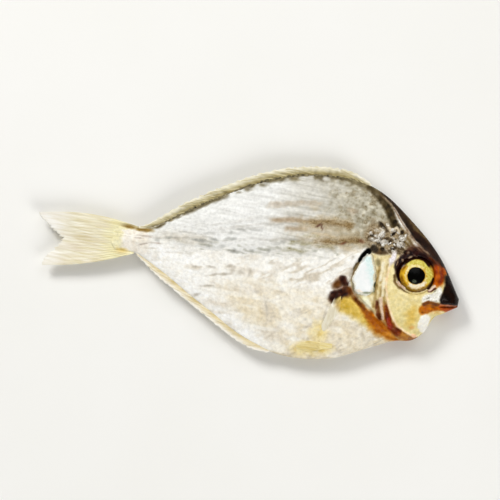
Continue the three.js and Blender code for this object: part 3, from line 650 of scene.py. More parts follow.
def face_paint(x, y, p):
    angle = p["eye_angle"]
    face = smooth(-0.15, 0.25, p["cheek"]) * (1 - smooth(5.0, 7.0, y))
    on_edge = smooth(-10.6, -9.8, y) * (1 - smooth(6.4, 7.6, y))
    # The dark skin round the eye, widened toward the upper left as painted shade in the socket
    upper_left = np.clip(np.cos(np.radians(angle - 122)), 0, 1)
    socket_shade_radius = 3.8 + 2.3 * upper_left**0.7 + 0.3 * noise(x, y, 1.3, 68)
    # painted shade along the forehead's outline toward the snout
    rim = smooth(0.8, 0.1, p["below_back"]) * smooth(70, 72, x) * (1 - smooth(76.4, 77.4, x))
    upper_snout = smooth(2, 4, y)
    snout_start, snout_full = mix(75.3, 74.8, upper_snout), mix(76.2, 76.7, upper_snout)
    snout = smooth(snout_start, snout_full, x + 0.4 * noise(x, y, 1.2, 69))
    return {
        "face": face,
        "cheek_light": face * smooth(-7, 0, y) * (1 - smooth(69, 73, x)),
        "cheek_gold": spots(x, y, CHEEK_GOLD, 0.0, 1.6) * face,
        "cheek_orange": spots(x, y, CHEEK_ORANGE, 0.0, 1.8) * face * 0.8,
        "cheek_rim": ridge(p["cheek"] - 0.05, 0.28) * on_edge,
        "eye_shade": smooth(5.0, 6.8, y) * smooth(64.8, 66.4, x) * smooth(7.8, 6.0, p["eye"]),
        # dark forehead edge, partly painted shade along the outline
        "forehead": np.maximum(stroke(x, y, FOREHEAD_DARK_AND_SHADE, 0.5, 0.8), rim),
        "amber": spots(x, y, AMBER, 0.6, 1.35),
        "amber_edge": stroke(x, y, AMBER_EDGE, 0.2, 0.9) * 0.85,
        "amber_streaks": strokes(x, y, AMBER_STREAKS, 0.1, 0.7) * 0.7,
        # dark socket skin, partly painted shade at the upper left
        "socket": 1 - smooth(socket_shade_radius - 0.7, socket_shade_radius + 0.4, p["eye"]),
        "lid_line": stroke(x, y, LID_LINE, 0.1, 0.5, 0.0) * 0.9,
        "corner_darks": strokes(x, y, EYE_CORNER_DARKS, 0.1, 0.35),
        # tan specks in the socket, the thin ones at its left painted glints
        "socket_specks": spots(x, y, SOCKET_SPECKS_AND_GLINTS, 0.1, 1.5) * (0.7 + 0.3 * noise(x, y, 0.5, 70)),
        # painted highlights: pinkish-white glints below the eye and at its front corner
        "lid_pale": np.maximum(stroke(x, y, LID_GLINT, 0.04, 0.36),
                               stroke(x, y, EYE_CORNER_GLINT, 0.05, 0.36)),
        "lilac_bone": spots(x, y, LILAC_BONE, 0.4, 1.4),
        "under_eye": np.maximum(stroke(x, y, UNDER_EYE, 0.4, 1.1, 0.7), spots(x, y, UNDER_EYE_BONE)),
        "under_eye_grey": spots(x, y, UNDER_EYE_GREY, 0.3, 1.4),
        # golden lower edge of the lip, partly painted highlight
        "lip_gold": stroke(x, y, LIP_GOLD_AND_HIGHLIGHT, 0.25, 0.5),
        "lip_orange": stroke(x, y, LIP_ORANGE, 0.9, 0.7, 0.35),
        "lip_brown": np.maximum(stroke(x, y, LIP_BROWN, 0.1, 0.6), spots(x, y, LIP_DARK, 0.0, 1.6) * 0.8),
        "lip_red": stroke(x, y, LIP_RED, 0.5, 0.7),
        # painted highlight along the top of the lip
        "lip_pink": stroke(x, y, LIP_HIGHLIGHT, 0.05, 0.35) * 0.5,
        "jaw_bone": spots(x, y, JAW_BONE, 0.7, 1.3),
        "chin": spots(x, y, CHIN),
        # painted shade along the chin's lower edge
        "chin_line": stroke(x, y, CHIN_EDGE_SHADE, 0.15, 0.35),
        "snout": snout * smooth(6.8, 5.2, y) * smooth(-1.3, -0.7, y),
        "mouth_line": ridge(p["mouth"], 0.22) * smooth(0.35, 0.6, p["mouth_share"]),
    }


def paint(x, y):
    """How much of each layer of paint lies at points of the skin, with worn edges."""
    drift_x = 0.22 * rough(x, y, 1.8, 71) + 0.1 * rough(x, y, 0.6, 86)
    drift_y = 0.22 * rough(x, y, 1.8, 75) + 0.1 * rough(x, y, 0.6, 89)
    x, y = x + drift_x, y + drift_y
    p = places(x, y)
    layers = {**trunk_paint(x, y, p), **nape_paint(x, y, p), **gill_paint(x, y, p), **face_paint(x, y, p)}
    grain = smooth(-0.6, 0.6, rough(x, y, 0.9, 79, 4))
    worn_by = WEAR * (1 - grain)
    return {name: np.clip((mask - worn_by) / (1 - WEAR), 0, 1) for name, mask in layers.items()}


def layered_tones(masks):
    """Lays all the layers over each other: their darker tones, and how far each grain lightens them."""
    count = len(masks["face"])
    base_dark, base_light = map(screen, BASE_TONES)
    tone = np.tile(base_dark, (count, 1))
    lift = {grain: np.zeros((count, 3)) for grain in GRAINS}
    lift["mottle"] += base_light - base_dark
    for name, *tones, grain in SKIN_LAYERS:
        mask = masks[name][:, None]
        dark, light = map(screen, tones)
        tone = mix(tone, dark, mask)
        for other in lift.values():
            other *= 1 - mask
        lift[grain] += mask * (light - dark)
    tones = {"tone": linear(tone)}
    for grain, step in lift.items():
        tones[grain + "_tone"] = linear(tone + step) - linear(tone)
    return {name: np.pad(colours, ((0, 0), (0, 1)), constant_values=1) for name, colours in tones.items()}


# Meshes

def row_points(x, y, z, lowest=0.0):
    """Points of the fish's frame in the part's frame, in metres, kept above the surface it lies on."""
    origin_x = fish_high.x - BODY_LENGTH * MM
    origin_y = fish_high.y - BACK_TOP * MM
    return np.stack([x * MM + origin_x, y * MM + origin_y, np.maximum(z, lowest) * MM], -1)


def grid_quads(index):
    corners = [index[:-1, :-1], index[1:, :-1], index[1:, 1:], index[:-1, 1:]]
    return np.stack(corners, -1).reshape(-1, 4).tolist()


def wall_quads(first, second):
    return np.stack([first[:-1], first[1:], second[1:], second[:-1]], -1).tolist()


def closed_sheet(name, upper, lower, material):
    """A closed mesh between two grids; the upper one may have a multiple of the lower one's rows."""
    top = np.arange(upper[..., 0].size).reshape(upper.shape[:2])
    under = top.size + np.arange(lower[..., 0].size).reshape(lower.shape[:2])
    ratio = (upper.shape[1] - 1) // (lower.shape[1] - 1)
    faces = grid_quads(top) + grid_quads(under[:, ::-1])
    faces += wall_quads(under[:, 0], top[:, 0]) + wall_quads(top[:, -1], under[:, -1])
    for r in range(lower.shape[1] - 1):
        chain = slice(r * ratio, (r + 1) * ratio + 1)
        faces.append([under[0, r + 1], under[0, r], *top[0, chain]])
        faces.append([under[-1, r], under[-1, r + 1], *top[-1, chain][::-1]])
    points = np.concatenate([upper.reshape(-1, 3), lower.reshape(-1, 3)])
    return mesh_object(name, points, faces, material)


def closed_disc(name, top, bottom, material):
    """A closed lens between two round grids whose first ring is the centre."""
    rings, segments = top.shape[0] - 1, top.shape[1]
    ring = np.arange(rings * segments).reshape(rings, segments)
    wrap = np.concatenate([ring, ring[:, :1]], 1)
    upper, lower = wrap + 1, wrap + 1 + ring.size
    last = 2 * ring.size + 1
    faces = grid_quads(upper) + grid_quads(lower[:, ::-1]) + wall_quads(lower[-1], upper[-1])
    faces += [[0, a, b] for a, b in zip(upper[0, :-1], upper[0, 1:])]
    faces += [[last, b, a] for a, b in zip(lower[0, :-1], lower[0, 1:])]
    points = np.concatenate([top[0, :1], top[1:].reshape(-1, 3), bottom[1:].reshape(-1, 3), bottom[0, :1]])
    return mesh_object(name, points, faces, material)


def disc_values(values, shape):
    """Values of a round grid in the order of a closed disc's points: its upper face, then its lower one."""
    ordered = {}
    for name, value in values.items():
        grid = np.broadcast_to(value, shape)
        ordered[name] = np.concatenate([grid[0, :1], grid[1:].ravel(), grid[1:].ravel(), grid[0, :1]])
    return ordered


def linked(name, data):
    """A new object of the scene."""
    thing = bpy.data.objects.new(name, data)
    bpy.context.scene.collection.objects.link(thing)
    return thing


def mesh_object(name, points, faces, material=None, edges=()):
    mesh = bpy.data.meshes.new(name)
    mesh.from_pydata(points.tolist(), list(edges), faces)
    mesh.update()
    if faces:
        face_outwards(mesh)
        mesh.shade_smooth()
    if material is not None:
        mesh.materials.append(material)
    return linked(name, mesh)


def face_outwards(mesh):
    shell = bmesh.new()
    shell.from_mesh(mesh)
    bmesh.ops.recalc_face_normals(shell, faces=shell.faces)
    shell.to_mesh(mesh)
    shell.free()


def set_values(piece, layers, kind="FLOAT", field="value"):
    """Gives each point of a piece its values, or its colours, of several layers."""
    for name, values in layers.items():
        attribute = piece.data.attributes.new(name, kind, "POINT")
        attribute.data.foreach_set(field, np.ascontiguousarray(values, np.float32).ravel())


# Nodes

def feed_node(tree, node, inputs):
    """Links each input of a node to its source, or sets it to its value."""
    for key, source in inputs.items():
        if isinstance(source, bpy.types.NodeSocket):
            tree.links.new(source, node.inputs[key])
        else:
            node.inputs[key].default_value = source


def add_node(tree, kind, inputs, settings):
    """The outputs of a new node."""
    node = tree.nodes.new(kind)
    for name, setting in settings.items():
        setattr(node, name, setting)
    feed_node(tree, node, inputs)
    return node.outputs


# Materials, with tones given as screen values from 0 to 255

def screen(tone):
    return np.array(tone) / 255


def linear(colour):
    """Screen values from 0 to 1 as the shader takes them."""
    return np.where(colour <= 0.04045, colour / 12.92, ((colour + 0.055) / 1.055) ** 2.4)


def shade(colour):
    """A tone as the shader takes it; a source stays as it is."""
    return [*linear(screen(colour)), 1.0] if isinstance(colour, tuple) else colour


class Finish:
    """A material under construction, with its shader and the textures that its colours are mixed by."""

    def __init__(self, name):
        self.material = bpy.data.materials.new(name)
        self.material.use_nodes = True
        self.tree = self.material.node_tree
        self.place = self.add("ShaderNodeTexCoord", {})["Object"]

    def add(self, kind, inputs, **settings):
        return add_node(self.tree, kind, inputs, settings)

    def set_surface(self, colour, roughness, specular):
        inputs = {"Base Color": colour, "Roughness": roughness, "Specular IOR Level": specular}
        feed_node(self.tree, self.tree.nodes["Principled BSDF"], inputs)

    def set_relief(self, height, depth_mm, strength):
        inputs = {"Height": height, "Distance": depth_mm * MM, "Strength": strength}
        bump = self.add("ShaderNodeBump", inputs)
        feed_node(self.tree, self.tree.nodes["Principled BSDF"], {"Normal": bump["Normal"]})

    def grain(self, size_mm, stretch=(1, 1, 1), detail=3.0):
        """Random waves from 0 to 1, of a size that each axis may stretch."""
        scale = [1 / (size_mm * MM * s) for s in stretch]
        mapping = self.add("ShaderNodeMapping", {"Vector": self.place, "Scale": scale})
        waves = self.add("ShaderNodeTexNoise", {"Vector": mapping["Vector"], "Scale": 1.0, "Detail": detail})
        return self.spread(waves["Fac"], *GRAIN_RANGE)

    def spread(self, source, low, high, start=0.0, end=1.0):
        """A source whose values from low to high are spread from start to end."""
        inputs = {"Value": source, "From Min": low, "From Max": high, "To Min": start, "To Max": end}
        return self.add("ShaderNodeMapRange", inputs)["Result"]

    def painted(self, name, output="Fac"):
        """A value, or the colour, that the points of the piece have been given."""
        return self.add("ShaderNodeAttribute", {}, attribute_name=name)[output]

    def lifted(self, colour, tone, grain):
        """A colour with a tone added to it as far as a grain says."""
        inputs = {0: tone, 1: grain, 2: colour}
        return self.add("ShaderNodeVectorMath", inputs, operation="MULTIPLY_ADD")["Vector"]

    def shaded(self, colour, share):
        """A colour made darker or lighter by a share."""
        return self.add("ShaderNodeVectorMath", {0: colour, "Scale": share}, operation="SCALE")["Vector"]

    def blend(self, share, first, second):
        """A mix of two colours, each a tone or a source."""
        inputs = {0: share, 6: shade(first), 7: shade(second)}
        return self.add("ShaderNodeMix", inputs, data_type="RGBA")[2]

    def layer(self, colour, share, grain, tones):
        """A colour with a layer of two tones over it."""
        return self.blend(share, colour, self.blend(grain, *tones))

    def worn(self, name, grain, depth):
        """A painted mask whose soft edges are broken up by a grain."""
        inputs = {0: grain, 1: depth, 2: self.painted(name)}
        return self.spread(self.add("ShaderNodeMath", inputs, operation="MULTIPLY_ADD")["Value"], depth, 1.0)


GRAIN_RANGE = 0.3, 0.7  # the part of the noise that a grain keeps
# The skin's grains: each has its size in mm and how far each axis stretches it
GRAINS = {"mottle": (1.3, (1, 1, 1)), "fine": (0.35, (1, 1, 1)), "streak": (1.0, (9, 0.7, 1))}
SPECKLE_MM, SPECKLE_SHADES = 0.7, (0.88, 1.1)
DRY_ROUGHNESS, GLOSSY_ROUGHNESS = 0.46, 0.24
BASE_TONES = (239, 235, 225), (255, 254, 248)

# The layers of the skin's paint, from the lowest up: each has its mask, its darker and lighter tone, and the
# grain that mixes them
SKIN_LAYERS = [
    ("belly_warmth", (221, 205, 170), (243, 232, 206), "mottle"),
    # a paler rear belly, and painted light along the belly's edge
    ("rear_light", (247, 245, 237), (255, 255, 253), "mottle"),
    ("beige_patches", (210, 198, 176), (233, 223, 204), "mottle"),
    # painted shade along the creases of the dried belly skin
    ("wrinkles", (194, 182, 160), (226, 216, 198), "mottle"),
    ("flank_dashes", (168, 160, 146), (206, 197, 180), "mottle"),
    # painted highlights on the belly
    ("flank_lights", (247, 243, 232), (255, 254, 248), "mottle"),
    ("back_grey", (220, 219, 213), (243, 243, 239), "streak"),
    ("back_warm", (190, 181, 162), (222, 215, 200), "mottle"),
    ("back_mid", (190, 186, 173), (224, 221, 211), "streak"),
    ("back_front", (128, 118, 90), (216, 210, 190), "mottle"),
    ("back_mottle", (94, 80, 50), (192, 179, 150), "fine"),
    ("streaks", (164, 158, 146), (204, 199, 188), "streak"),
    ("tan_lines", (150, 130, 104), (196, 178, 152), "mottle"),
    ("grey_lines", (122, 122, 116), (178, 176, 168), "mottle"),
    ("olive_lines", (124, 117, 82), (176, 169, 134), "fine"),
    ("grey_dashes", (128, 129, 122), (184, 183, 175), "mottle"),
    ("border_dashes", (138, 138, 122), (188, 185, 168), "mottle"),
    ("back_tan", (184, 164, 128), (224, 208, 178), "streak"),
    ("brown_halo", (148, 128, 94), (198, 180, 146), "fine"),
    ("brown_lines", (92, 68, 30), (154, 128, 84), "fine"),
    ("gill_browns", (92, 50, 34), (140, 100, 68), "mottle"),
    ("flank_spot", (70, 40, 30), (122, 88, 70), "fine"),
    ("back_edge", (84, 74, 50), (140, 128, 94), "mottle"),
    ("tail_pale", (235, 225, 207), (253, 249, 239), "mottle"),
    ("tail_dashes", (158, 142, 128), (206, 192, 178), "mottle"),
    ("tail_gold", (229, 219, 168), (246, 241, 206), "streak"),
    ("tail_orange", (210, 178, 92), (242, 220, 148), "mottle"),
    ("tail_brown", (106, 76, 22), (172, 140, 68), "mottle"),
    ("belly_yellow", (222, 190, 96), (248, 230, 158), "mottle"),
    ("band_gold", (202, 163, 48), (237, 206, 108), "mottle"),
    ("band_brown", (160, 80, 0), (214, 134, 20), "mottle"),
    ("band_orange", (140, 64, 0), (196, 112, 10), "mottle"),
    # golden throat, partly painted light against the shade of the lower edge
    ("throat_gold", (196, 112, 12), (236, 164, 48), "mottle"),
    ("fin_root_brown", (60, 26, 0), (116, 68, 22), "mottle"),
    ("fin_roots", (12, 0, 0), (56, 16, 0), "mottle"),
    ("fin_root_pale", (148, 116, 100), (190, 160, 144), "fine"),
    ("nape", (116, 97, 66), (177, 158, 125), "fine"),
    ("nape_side", (78, 58, 28), (140, 116, 80), "fine"),
    ("nape_cracks", (50, 36, 20), (104, 86, 58), "fine"),
    ("nape_bits", (170, 158, 136), (232, 226, 212), "fine"),
    ("nape_olive", (84, 66, 30), (136, 114, 66), "mottle"),
    ("brow_groove", (32, 23, 4), (76, 60, 30), "mottle"),
    ("gill_cover", (206, 182, 118), (242, 230, 188), "mottle"),
    ("plate_seat", (150, 140, 110), (190, 182, 156), "mottle"),
    ("under_plate", (236, 232, 190), (253, 251, 228), "mottle"),
    ("gill_tan", (104, 90, 54), (158, 144, 100), "mottle"),
    ("gill_grey", (104, 104, 76), (166, 166, 134), "fine"),
    ("gill_green", (24, 26, 8), (66, 70, 40), "fine"),
    ("strip_gaps", (126, 98, 44), (180, 150, 88), "mottle"),
    ("strip_bones", (236, 222, 178), (254, 247, 222), "mottle"),
    ("cheek_shadow", (158, 88, 14), (206, 146, 62), "mottle"),
    ("red_groove", (74, 16, 0), (130, 52, 8), "mottle"),
    ("red_core", (128, 22, 2), (176, 60, 18), "fine"),
    ("dark_groove", (58, 18, 2), (112, 52, 14), "mottle"),
    ("groove_bone", (204, 172, 142), (240, 218, 192), "mottle"),
    ("gill_line", (60, 20, 0), (136, 72, 12), "mottle"),
    ("gill_gap_tail", (96, 76, 42), (146, 126, 86), "mottle"),
    ("nape_shadow", (44, 30, 14), (96, 72, 42), "mottle"),
    ("nape_darks", (18, 12, 7), (66, 52, 32), "fine"),
    # painted shade: the gap above the gill cover painted black
    ("gill_gap", (3, 2, 2), (12, 9, 6), "fine"),
    ("nape_cream", (214, 196, 164), (242, 228, 202), "fine"),
    # white bits of broken scale, partly painted glints
    ("nape_lights", (222, 218, 204), (254, 253, 248), "fine"),
    ("face", (220, 201, 130), (240, 226, 168), "mottle"),
    ("cheek_light", (229, 209, 140), (248, 234, 181), "mottle"),
    ("cheek_gold", (214, 174, 72), (236, 206, 112), "mottle"),
    ("cheek_orange", (208, 146, 66), (232, 182, 104), "mottle"),
    ("cheek_rim", (246, 210, 154), (255, 240, 208), "mottle"),
    ("brow_outer", (58, 42, 20), (106, 84, 50), "mottle"),
    ("brow_dark", (24, 13, 6), (62, 42, 22), "mottle"),
    ("eye_shade", (44, 22, 12), (92, 56, 34), "mottle"),
    ("amber", (126, 46, 0), (196, 94, 4), "mottle"),
    ("amber_streaks", (104, 24, 0), (156, 54, 2), "mottle"),
    ("amber_edge", (44, 14, 2), (96, 40, 6), "mottle"),
    # dark forehead edge, partly painted shade along the outline
    ("forehead", (15, 6, 3), (50, 26, 13), "mottle"),
    ("brow_ridge", (106, 82, 60), (170, 143, 114), "fine"),
    # dark socket skin, partly painted shade at the upper left
    ("socket", (12, 2, 3), (44, 15, 10), "mottle"),
    ("lid_line", (78, 56, 26), (132, 104, 58), "mottle"),
    ("corner_darks", (60, 20, 8), (112, 62, 34), "mottle"),
    # tan specks in the socket, the thin ones at its left painted glints
    ("socket_specks", (150, 116, 80), (216, 190, 156), "fine"),
    # painted highlights below the eye and at its front corner
    ("lid_pale", (214, 176, 150), (246, 228, 208), "fine"),
    ("lilac_bone", (226, 214, 218), (253, 249, 250), "fine"),
    ("under_eye", (230, 226, 206), (255, 254, 249), "fine"),
    ("under_eye_grey", (142, 138, 122), (190, 186, 170), "fine"),
    # golden lower edge of the lip, partly painted highlight
    ("lip_gold", (222, 176, 82), (252, 228, 170), "mottle"),
    ("lip_orange", (162, 70, 0), (206, 120, 0), "mottle"),
    ("lip_brown", (80, 34, 0), (138, 76, 8), "mottle"),
    ("lip_red", (150, 48, 0), (202, 96, 14), "mottle"),
    ("jaw_bone", (250, 243, 226), (255, 255, 248), "mottle"),
    ("chin", (244, 184, 134), (255, 222, 186), "mottle"),
    # painted shade along the chin's lower edge
    ("chin_line", (112, 60, 18), (164, 108, 52), "mottle"),
    ("snout", (5, 0, 0), (30, 10, 2), "mottle"),
    ("mouth_line", (96, 34, 8), (140, 66, 20), "fine"),
    # painted highlight along the top of the lip
    ("lip_pink", (204, 140, 124), (238, 190, 176), "fine"),
]


def skin_finish():
    skin = Finish("dried_skin")
    grains = {name: skin.grain(*sizes) for name, sizes in GRAINS.items()}
    colour = skin.painted("tone", "Color")
    for name, grain in grains.items():
        colour = skin.lifted(colour, skin.painted(name + "_tone", "Color"), grain)
    speckle = skin.spread(skin.grain(SPECKLE_MM, detail=6.0), 0, 1, *SPECKLE_SHADES)
    roughness = skin.spread(skin.painted("gloss"), 0, 1, DRY_ROUGHNESS, GLOSSY_ROUGHNESS)
    skin.set_surface(skin.shaded(colour, speckle), roughness, specular=0.13)
    skin.set_relief(grains["fine"], depth_mm=0.05, strength=0.6)
    return skin.material


EYE_WEAR = 0.35
IRIS_TONES = (200, 144, 20), (243, 200, 54)
EYE_LAYERS = [
    ("outer", (140, 88, 4), (196, 142, 24)),
    ("brown", (96, 54, 2), (160, 108, 18)),
    ("yellow", (190, 170, 52), (232, 222, 120)),
    ("olive", (118, 84, 10), (168, 130, 36)),
    ("pale_ring", (230, 208, 116), (252, 244, 196)),
    ("crescent", (244, 224, 176), (255, 249, 228)),
    ("ring_olive", (74, 50, 12), (128, 96, 36)),
    ("cheek_skin", (222, 206, 150), (244, 232, 190)),
    ("amber_skin", (120, 46, 2), (178, 86, 8)),
    # dark ring round the lens, partly painted shade at its upper left
    ("dark_ring", (16, 4, 3), (46, 18, 9)),
    # painted highlight below the eye, where it reaches onto the lens
    ("lid_pale", (214, 176, 150), (246, 228, 208)),
    ("pupil", (0, 0, 0), (4, 3, 2)),
    # painted reflection: a grey-green glint on the pupil
    ("pupil_glint", (34, 40, 30), (112, 120, 98)),
]


def eye_finish():
    eye = Finish("dried_eye")
    fibres = eye.grain(size_mm=0.5, detail=5.0)
    # grain of the painted glint on the pupil
    pupil_glint = eye.grain(size_mm=0.25)
    colour = eye.blend(fibres, *IRIS_TONES)
    for mask, *tones in EYE_LAYERS:
        grain = pupil_glint if mask == "pupil_glint" else fibres
        colour = eye.layer(colour, eye.worn(mask, fibres, EYE_WEAR), grain, tones)
    eye.set_surface(colour, roughness=0.16, specular=0.08)
    eye.set_relief(fibres, depth_mm=0.03, strength=0.4)
    return eye.material


PLATE_WEAR = 0.45
PEARL_TONES = (232, 238, 236), (255, 255, 253)
PLATE_LAYERS = [
    ("tint", (206, 232, 228), (236, 248, 244)),
    ("flesh", (246, 222, 194), (255, 242, 226)),
    ("rim", (224, 222, 204), (252, 250, 238)),
    ("tan_rim", (196, 184, 146), (236, 228, 200)),
    ("grey", (112, 118, 92), (182, 188, 160)),
    ("green", (26, 30, 10), (84, 92, 62)),
]


def plate_finish():
    plate = Finish("pearly_gill_plate")
    fine = plate.grain(size_mm=0.4)
    wear = plate.grain(size_mm=0.8, detail=5.0)
    colour = plate.blend(plate.grain(size_mm=2.2), *PEARL_TONES)
    for mask, *tones in PLATE_LAYERS:
        colour = plate.layer(colour, plate.worn(mask, wear, PLATE_WEAR), fine, tones)
    plate.set_surface(colour, roughness=0.34, specular=0.3)
    plate.set_relief(fine, depth_mm=0.04, strength=0.6)
    return plate.material


FIN_STREAK_MM = 0.6
ALONG_X, ALONG_Y = (6, 1, 1), (1, 6, 1)  # how a fin's streaks are stretched


def dry_fin(fin, colour, grain):
    fin.set_surface(colour, roughness=0.5, specular=0.2)
    fin.set_relief(grain, depth_mm=0.04, strength=0.5)
    return fin.material


def fin_finish(name, tones, edge_tones=None, streak=ALONG_X, blotch=None, gold_tones=None):
    """A fin streaky along its rays; its blotches, edge and stain have tones of their own if it has them."""
    fin = Finish(name)
    grain = fin.grain(FIN_STREAK_MM, streak)
    colour = fin.blend(grain, *tones)
    if blotch is not None:
        colour = fin.blend(fin.spread(fin.grain(size_mm=1.5), 0.4, 1.1), colour, blotch)
    if edge_tones is not None:
        colour = fin.layer(colour, fin.painted("edge"), grain, edge_tones)
    if gold_tones is not None:
        colour = fin.layer(colour, fin.painted("gold"), grain, gold_tones)
    return dry_fin(fin, colour, grain)


TAIL_BAND_TONE = (222, 207, 178)
TAIL_LAYERS = [
    ("pale", (233, 227, 212), (251, 249, 243)),
    ("gold", (228, 217, 164), (246, 241, 204)),
    ("orange", (210, 178, 92), (242, 220, 148)),
    ("brown", (112, 82, 26), (176, 146, 74)),
]


def tail_finish(name, dark, light):
    """The tail fin: golden at its root and pale at its tips, with long streaks and stains."""
    tail = Finish(name)
    grain = tail.grain(FIN_STREAK_MM, stretch=(9, 0.8, 1))
    bands = tail.spread(tail.grain(size_mm=1.3, stretch=(12, 1, 1)), 0.5, 1.2)
    colour = tail.blend(bands, tail.blend(grain, dark, light), TAIL_BAND_TONE)
    for mask, *tones in TAIL_LAYERS:
        colour = tail.layer(colour, tail.painted(mask), grain, tones)
    return dry_fin(tail, colour, grain)


def speckled_finish(name, dark, light, size_mm):
    speckled = Finish(name)
    colour = speckled.blend(speckled.grain(size_mm, detail=1.0), dark, light)
    speckled.set_surface(colour, roughness=0.35, specular=0.25)
    speckled.set_relief(speckled.grain(size_mm=0.2), depth_mm=0.03, strength=0.5)
    return speckled.material


# Body

def body_skin(material):
    trunk_x = np.linspace(FLESH_END, GILL_REAR, TRUNK_COLUMNS, endpoint=False)
    head_x = np.linspace(GILL_REAR, SNOUT_START, HEAD_COLUMNS, endpoint=False)
    snout_turn = np.linspace(0, math.pi / 2, SNOUT_COLUMNS + 1)
    snout_x = SNOUT_START + (BODY_LENGTH - SNOUT_START) * np.sin(snout_turn)
    columns = np.concatenate([trunk_x, head_x, snout_x])[:, None]
    grids = []
    for side, rows in ((1, TOP_ROWS), (-1, UNDER_ROWS)):
        t = np.linspace(0, 1, rows + 1)[None, :]
        across = mix(t, (1 - np.cos(t * math.pi)) / 2, EDGE_CROWDING)
        near_tail = 1 - smooth(FLESH_END, SCALLOP_REACH, columns)
        x = columns + FLESH_SCALLOP * (2 * across - 1) ** 2 * near_tail
        y = mix(along(BELLY_LINE, x), along(BACK_LINE, x), across)
        grids.append((x, y, middle(x) + side * half_thickness(x, y)))
    piece = closed_sheet("body_skin", row_points(*grids[0]), row_points(*grids[1]), material)
    x, y = (np.concatenate([grid[k].ravel() for grid in grids]) for k in (0, 1))
    masks = paint(x, y)
    set_values(piece, layered_tones(masks), "FLOAT_COLOR", "color")
    gloss = sum(masks[name] for name in ("gill_cover", "socket", "band_brown", "snout"))
    set_values(piece, {"gloss": np.clip(gloss, 0, 1)})
    return piece


# Eyes and gill plates

EYE_INSET, EYE_SEAT, EYE_DEPTH = 0.1, 0.2, 2.2
PUPIL_RISE, IRIS_GROOVE = 0.12, 0.12


def round_grid(rings, segments, reach):
    """Radii and turns of a round grid, as a column and a row."""
    radius = np.linspace(0, reach, rings)[:, None]
    turn = np.linspace(0, 2 * math.pi, segments, endpoint=False)[None, :]
    return radius, turn


def eye_piece(name, side, material):
    """A glossy lens: a black pupil that stands up a little in a golden iris."""
    radius, turn = round_grid(EYE_RINGS, EYE_SEGMENTS, EYE_RADIUS - EYE_INSET)
    x = EYE_X + radius * np.cos(turn)
    y = EYE_Y + radius * np.sin(turn)
    wobble = 0.12 * noise(np.cos(turn) * 2, np.sin(turn) * 2, 1.0, 81) + 0.05 * noise(x, y, 0.5, 82)
    uneven = radius + wobble
    pupil = 1 - smooth(PUPIL_RADIUS - 0.12, PUPIL_RADIUS + 0.12, uneven)
    dome = 2 * EYE_DOME * np.sqrt(1 - (radius / EYE_RADIUS) ** 2) - EYE_DOME
    dome = dome + PUPIL_RISE * pupil - IRIS_GROOVE * ridge(radius - 2.9, 0.5)
    base = half_thickness(x, y, detail=False) + EYE_SEAT
    top = row_points(x, y, middle(x) + side * (base + dome))
    bottom = row_points(x, y, middle(x) + side * (base - EYE_DEPTH))

    def towards(degrees):
        return np.clip(np.cos(turn - math.radians(degrees)), 0, 1)

    iris = IRIS_RADIUS + 0.2 * np.cos(4 * turn) * (0.6 + 0.4 * np.sin(turn))
    # painted shade: the dark ring at the lens's upper left, going on from the socket's shade
    ring = smooth(-0.2, 0.2, uneven - iris) * smooth(-0.2, 0.25, np.cos(turn - 2.25))
    brown_parts = np.maximum(0.9 * towards(140), towards(228))
    yellow_parts = np.maximum(towards(88), 0.8 * towards(20))
    values = {
        "pupil": pupil,
        "outer": smooth(2.8, 3.9, uneven) * 0.6,
        "brown": ridge(radius - 3.4, 0.45) * smooth(0.6, 0.95, brown_parts),
        "yellow": ridge(radius - 3.1, 0.9) * smooth(0.3, 0.9, yellow_parts),
        "olive": ridge(radius - 3.3, 0.35) * smooth(0.3, 0.8, towards(268)),
        "pale_ring": ridge(uneven - 2.35, 0.35) * (0.35 + 0.65 * towards(120)),
        "crescent": ridge(uneven - 2.55, 0.5) * smooth(0.5, 0.85, towards(288)),
        "ring_olive": ridge(uneven - 3.75, 0.3) * smooth(0.1, 0.6, towards(282)),
        "cheek_skin": smooth(3.85, 4.1, uneven) * smooth(0.3, 0.8, towards(285)),
        "amber_skin": smooth(4.0, 4.25, uneven) * smooth(0.5, 0.9, towards(12)),
        "dark_ring": np.maximum(ring, strokes(x, y, EYE_CORNER_DARKS, 0.1, 0.35)),
        # painted highlight below the eye, on the lens's edge
        "lid_pale": stroke(x, y, LID_GLINT, 0.04, 0.36),
        # painted reflection: a grey-green glint on the pupil
        "pupil_glint": ridge(np.hypot(x - EYE_X + 0.2, y - EYE_Y + 1.4), 0.45),
    }
    piece = closed_disc(name, top, bottom, material)
    set_values(piece, disc_values(values, x.shape))
    return piece


PLATE_CROWN, PLATE_WAVES, PLATE_DEPTH = 0.22, 0.07, 0.35


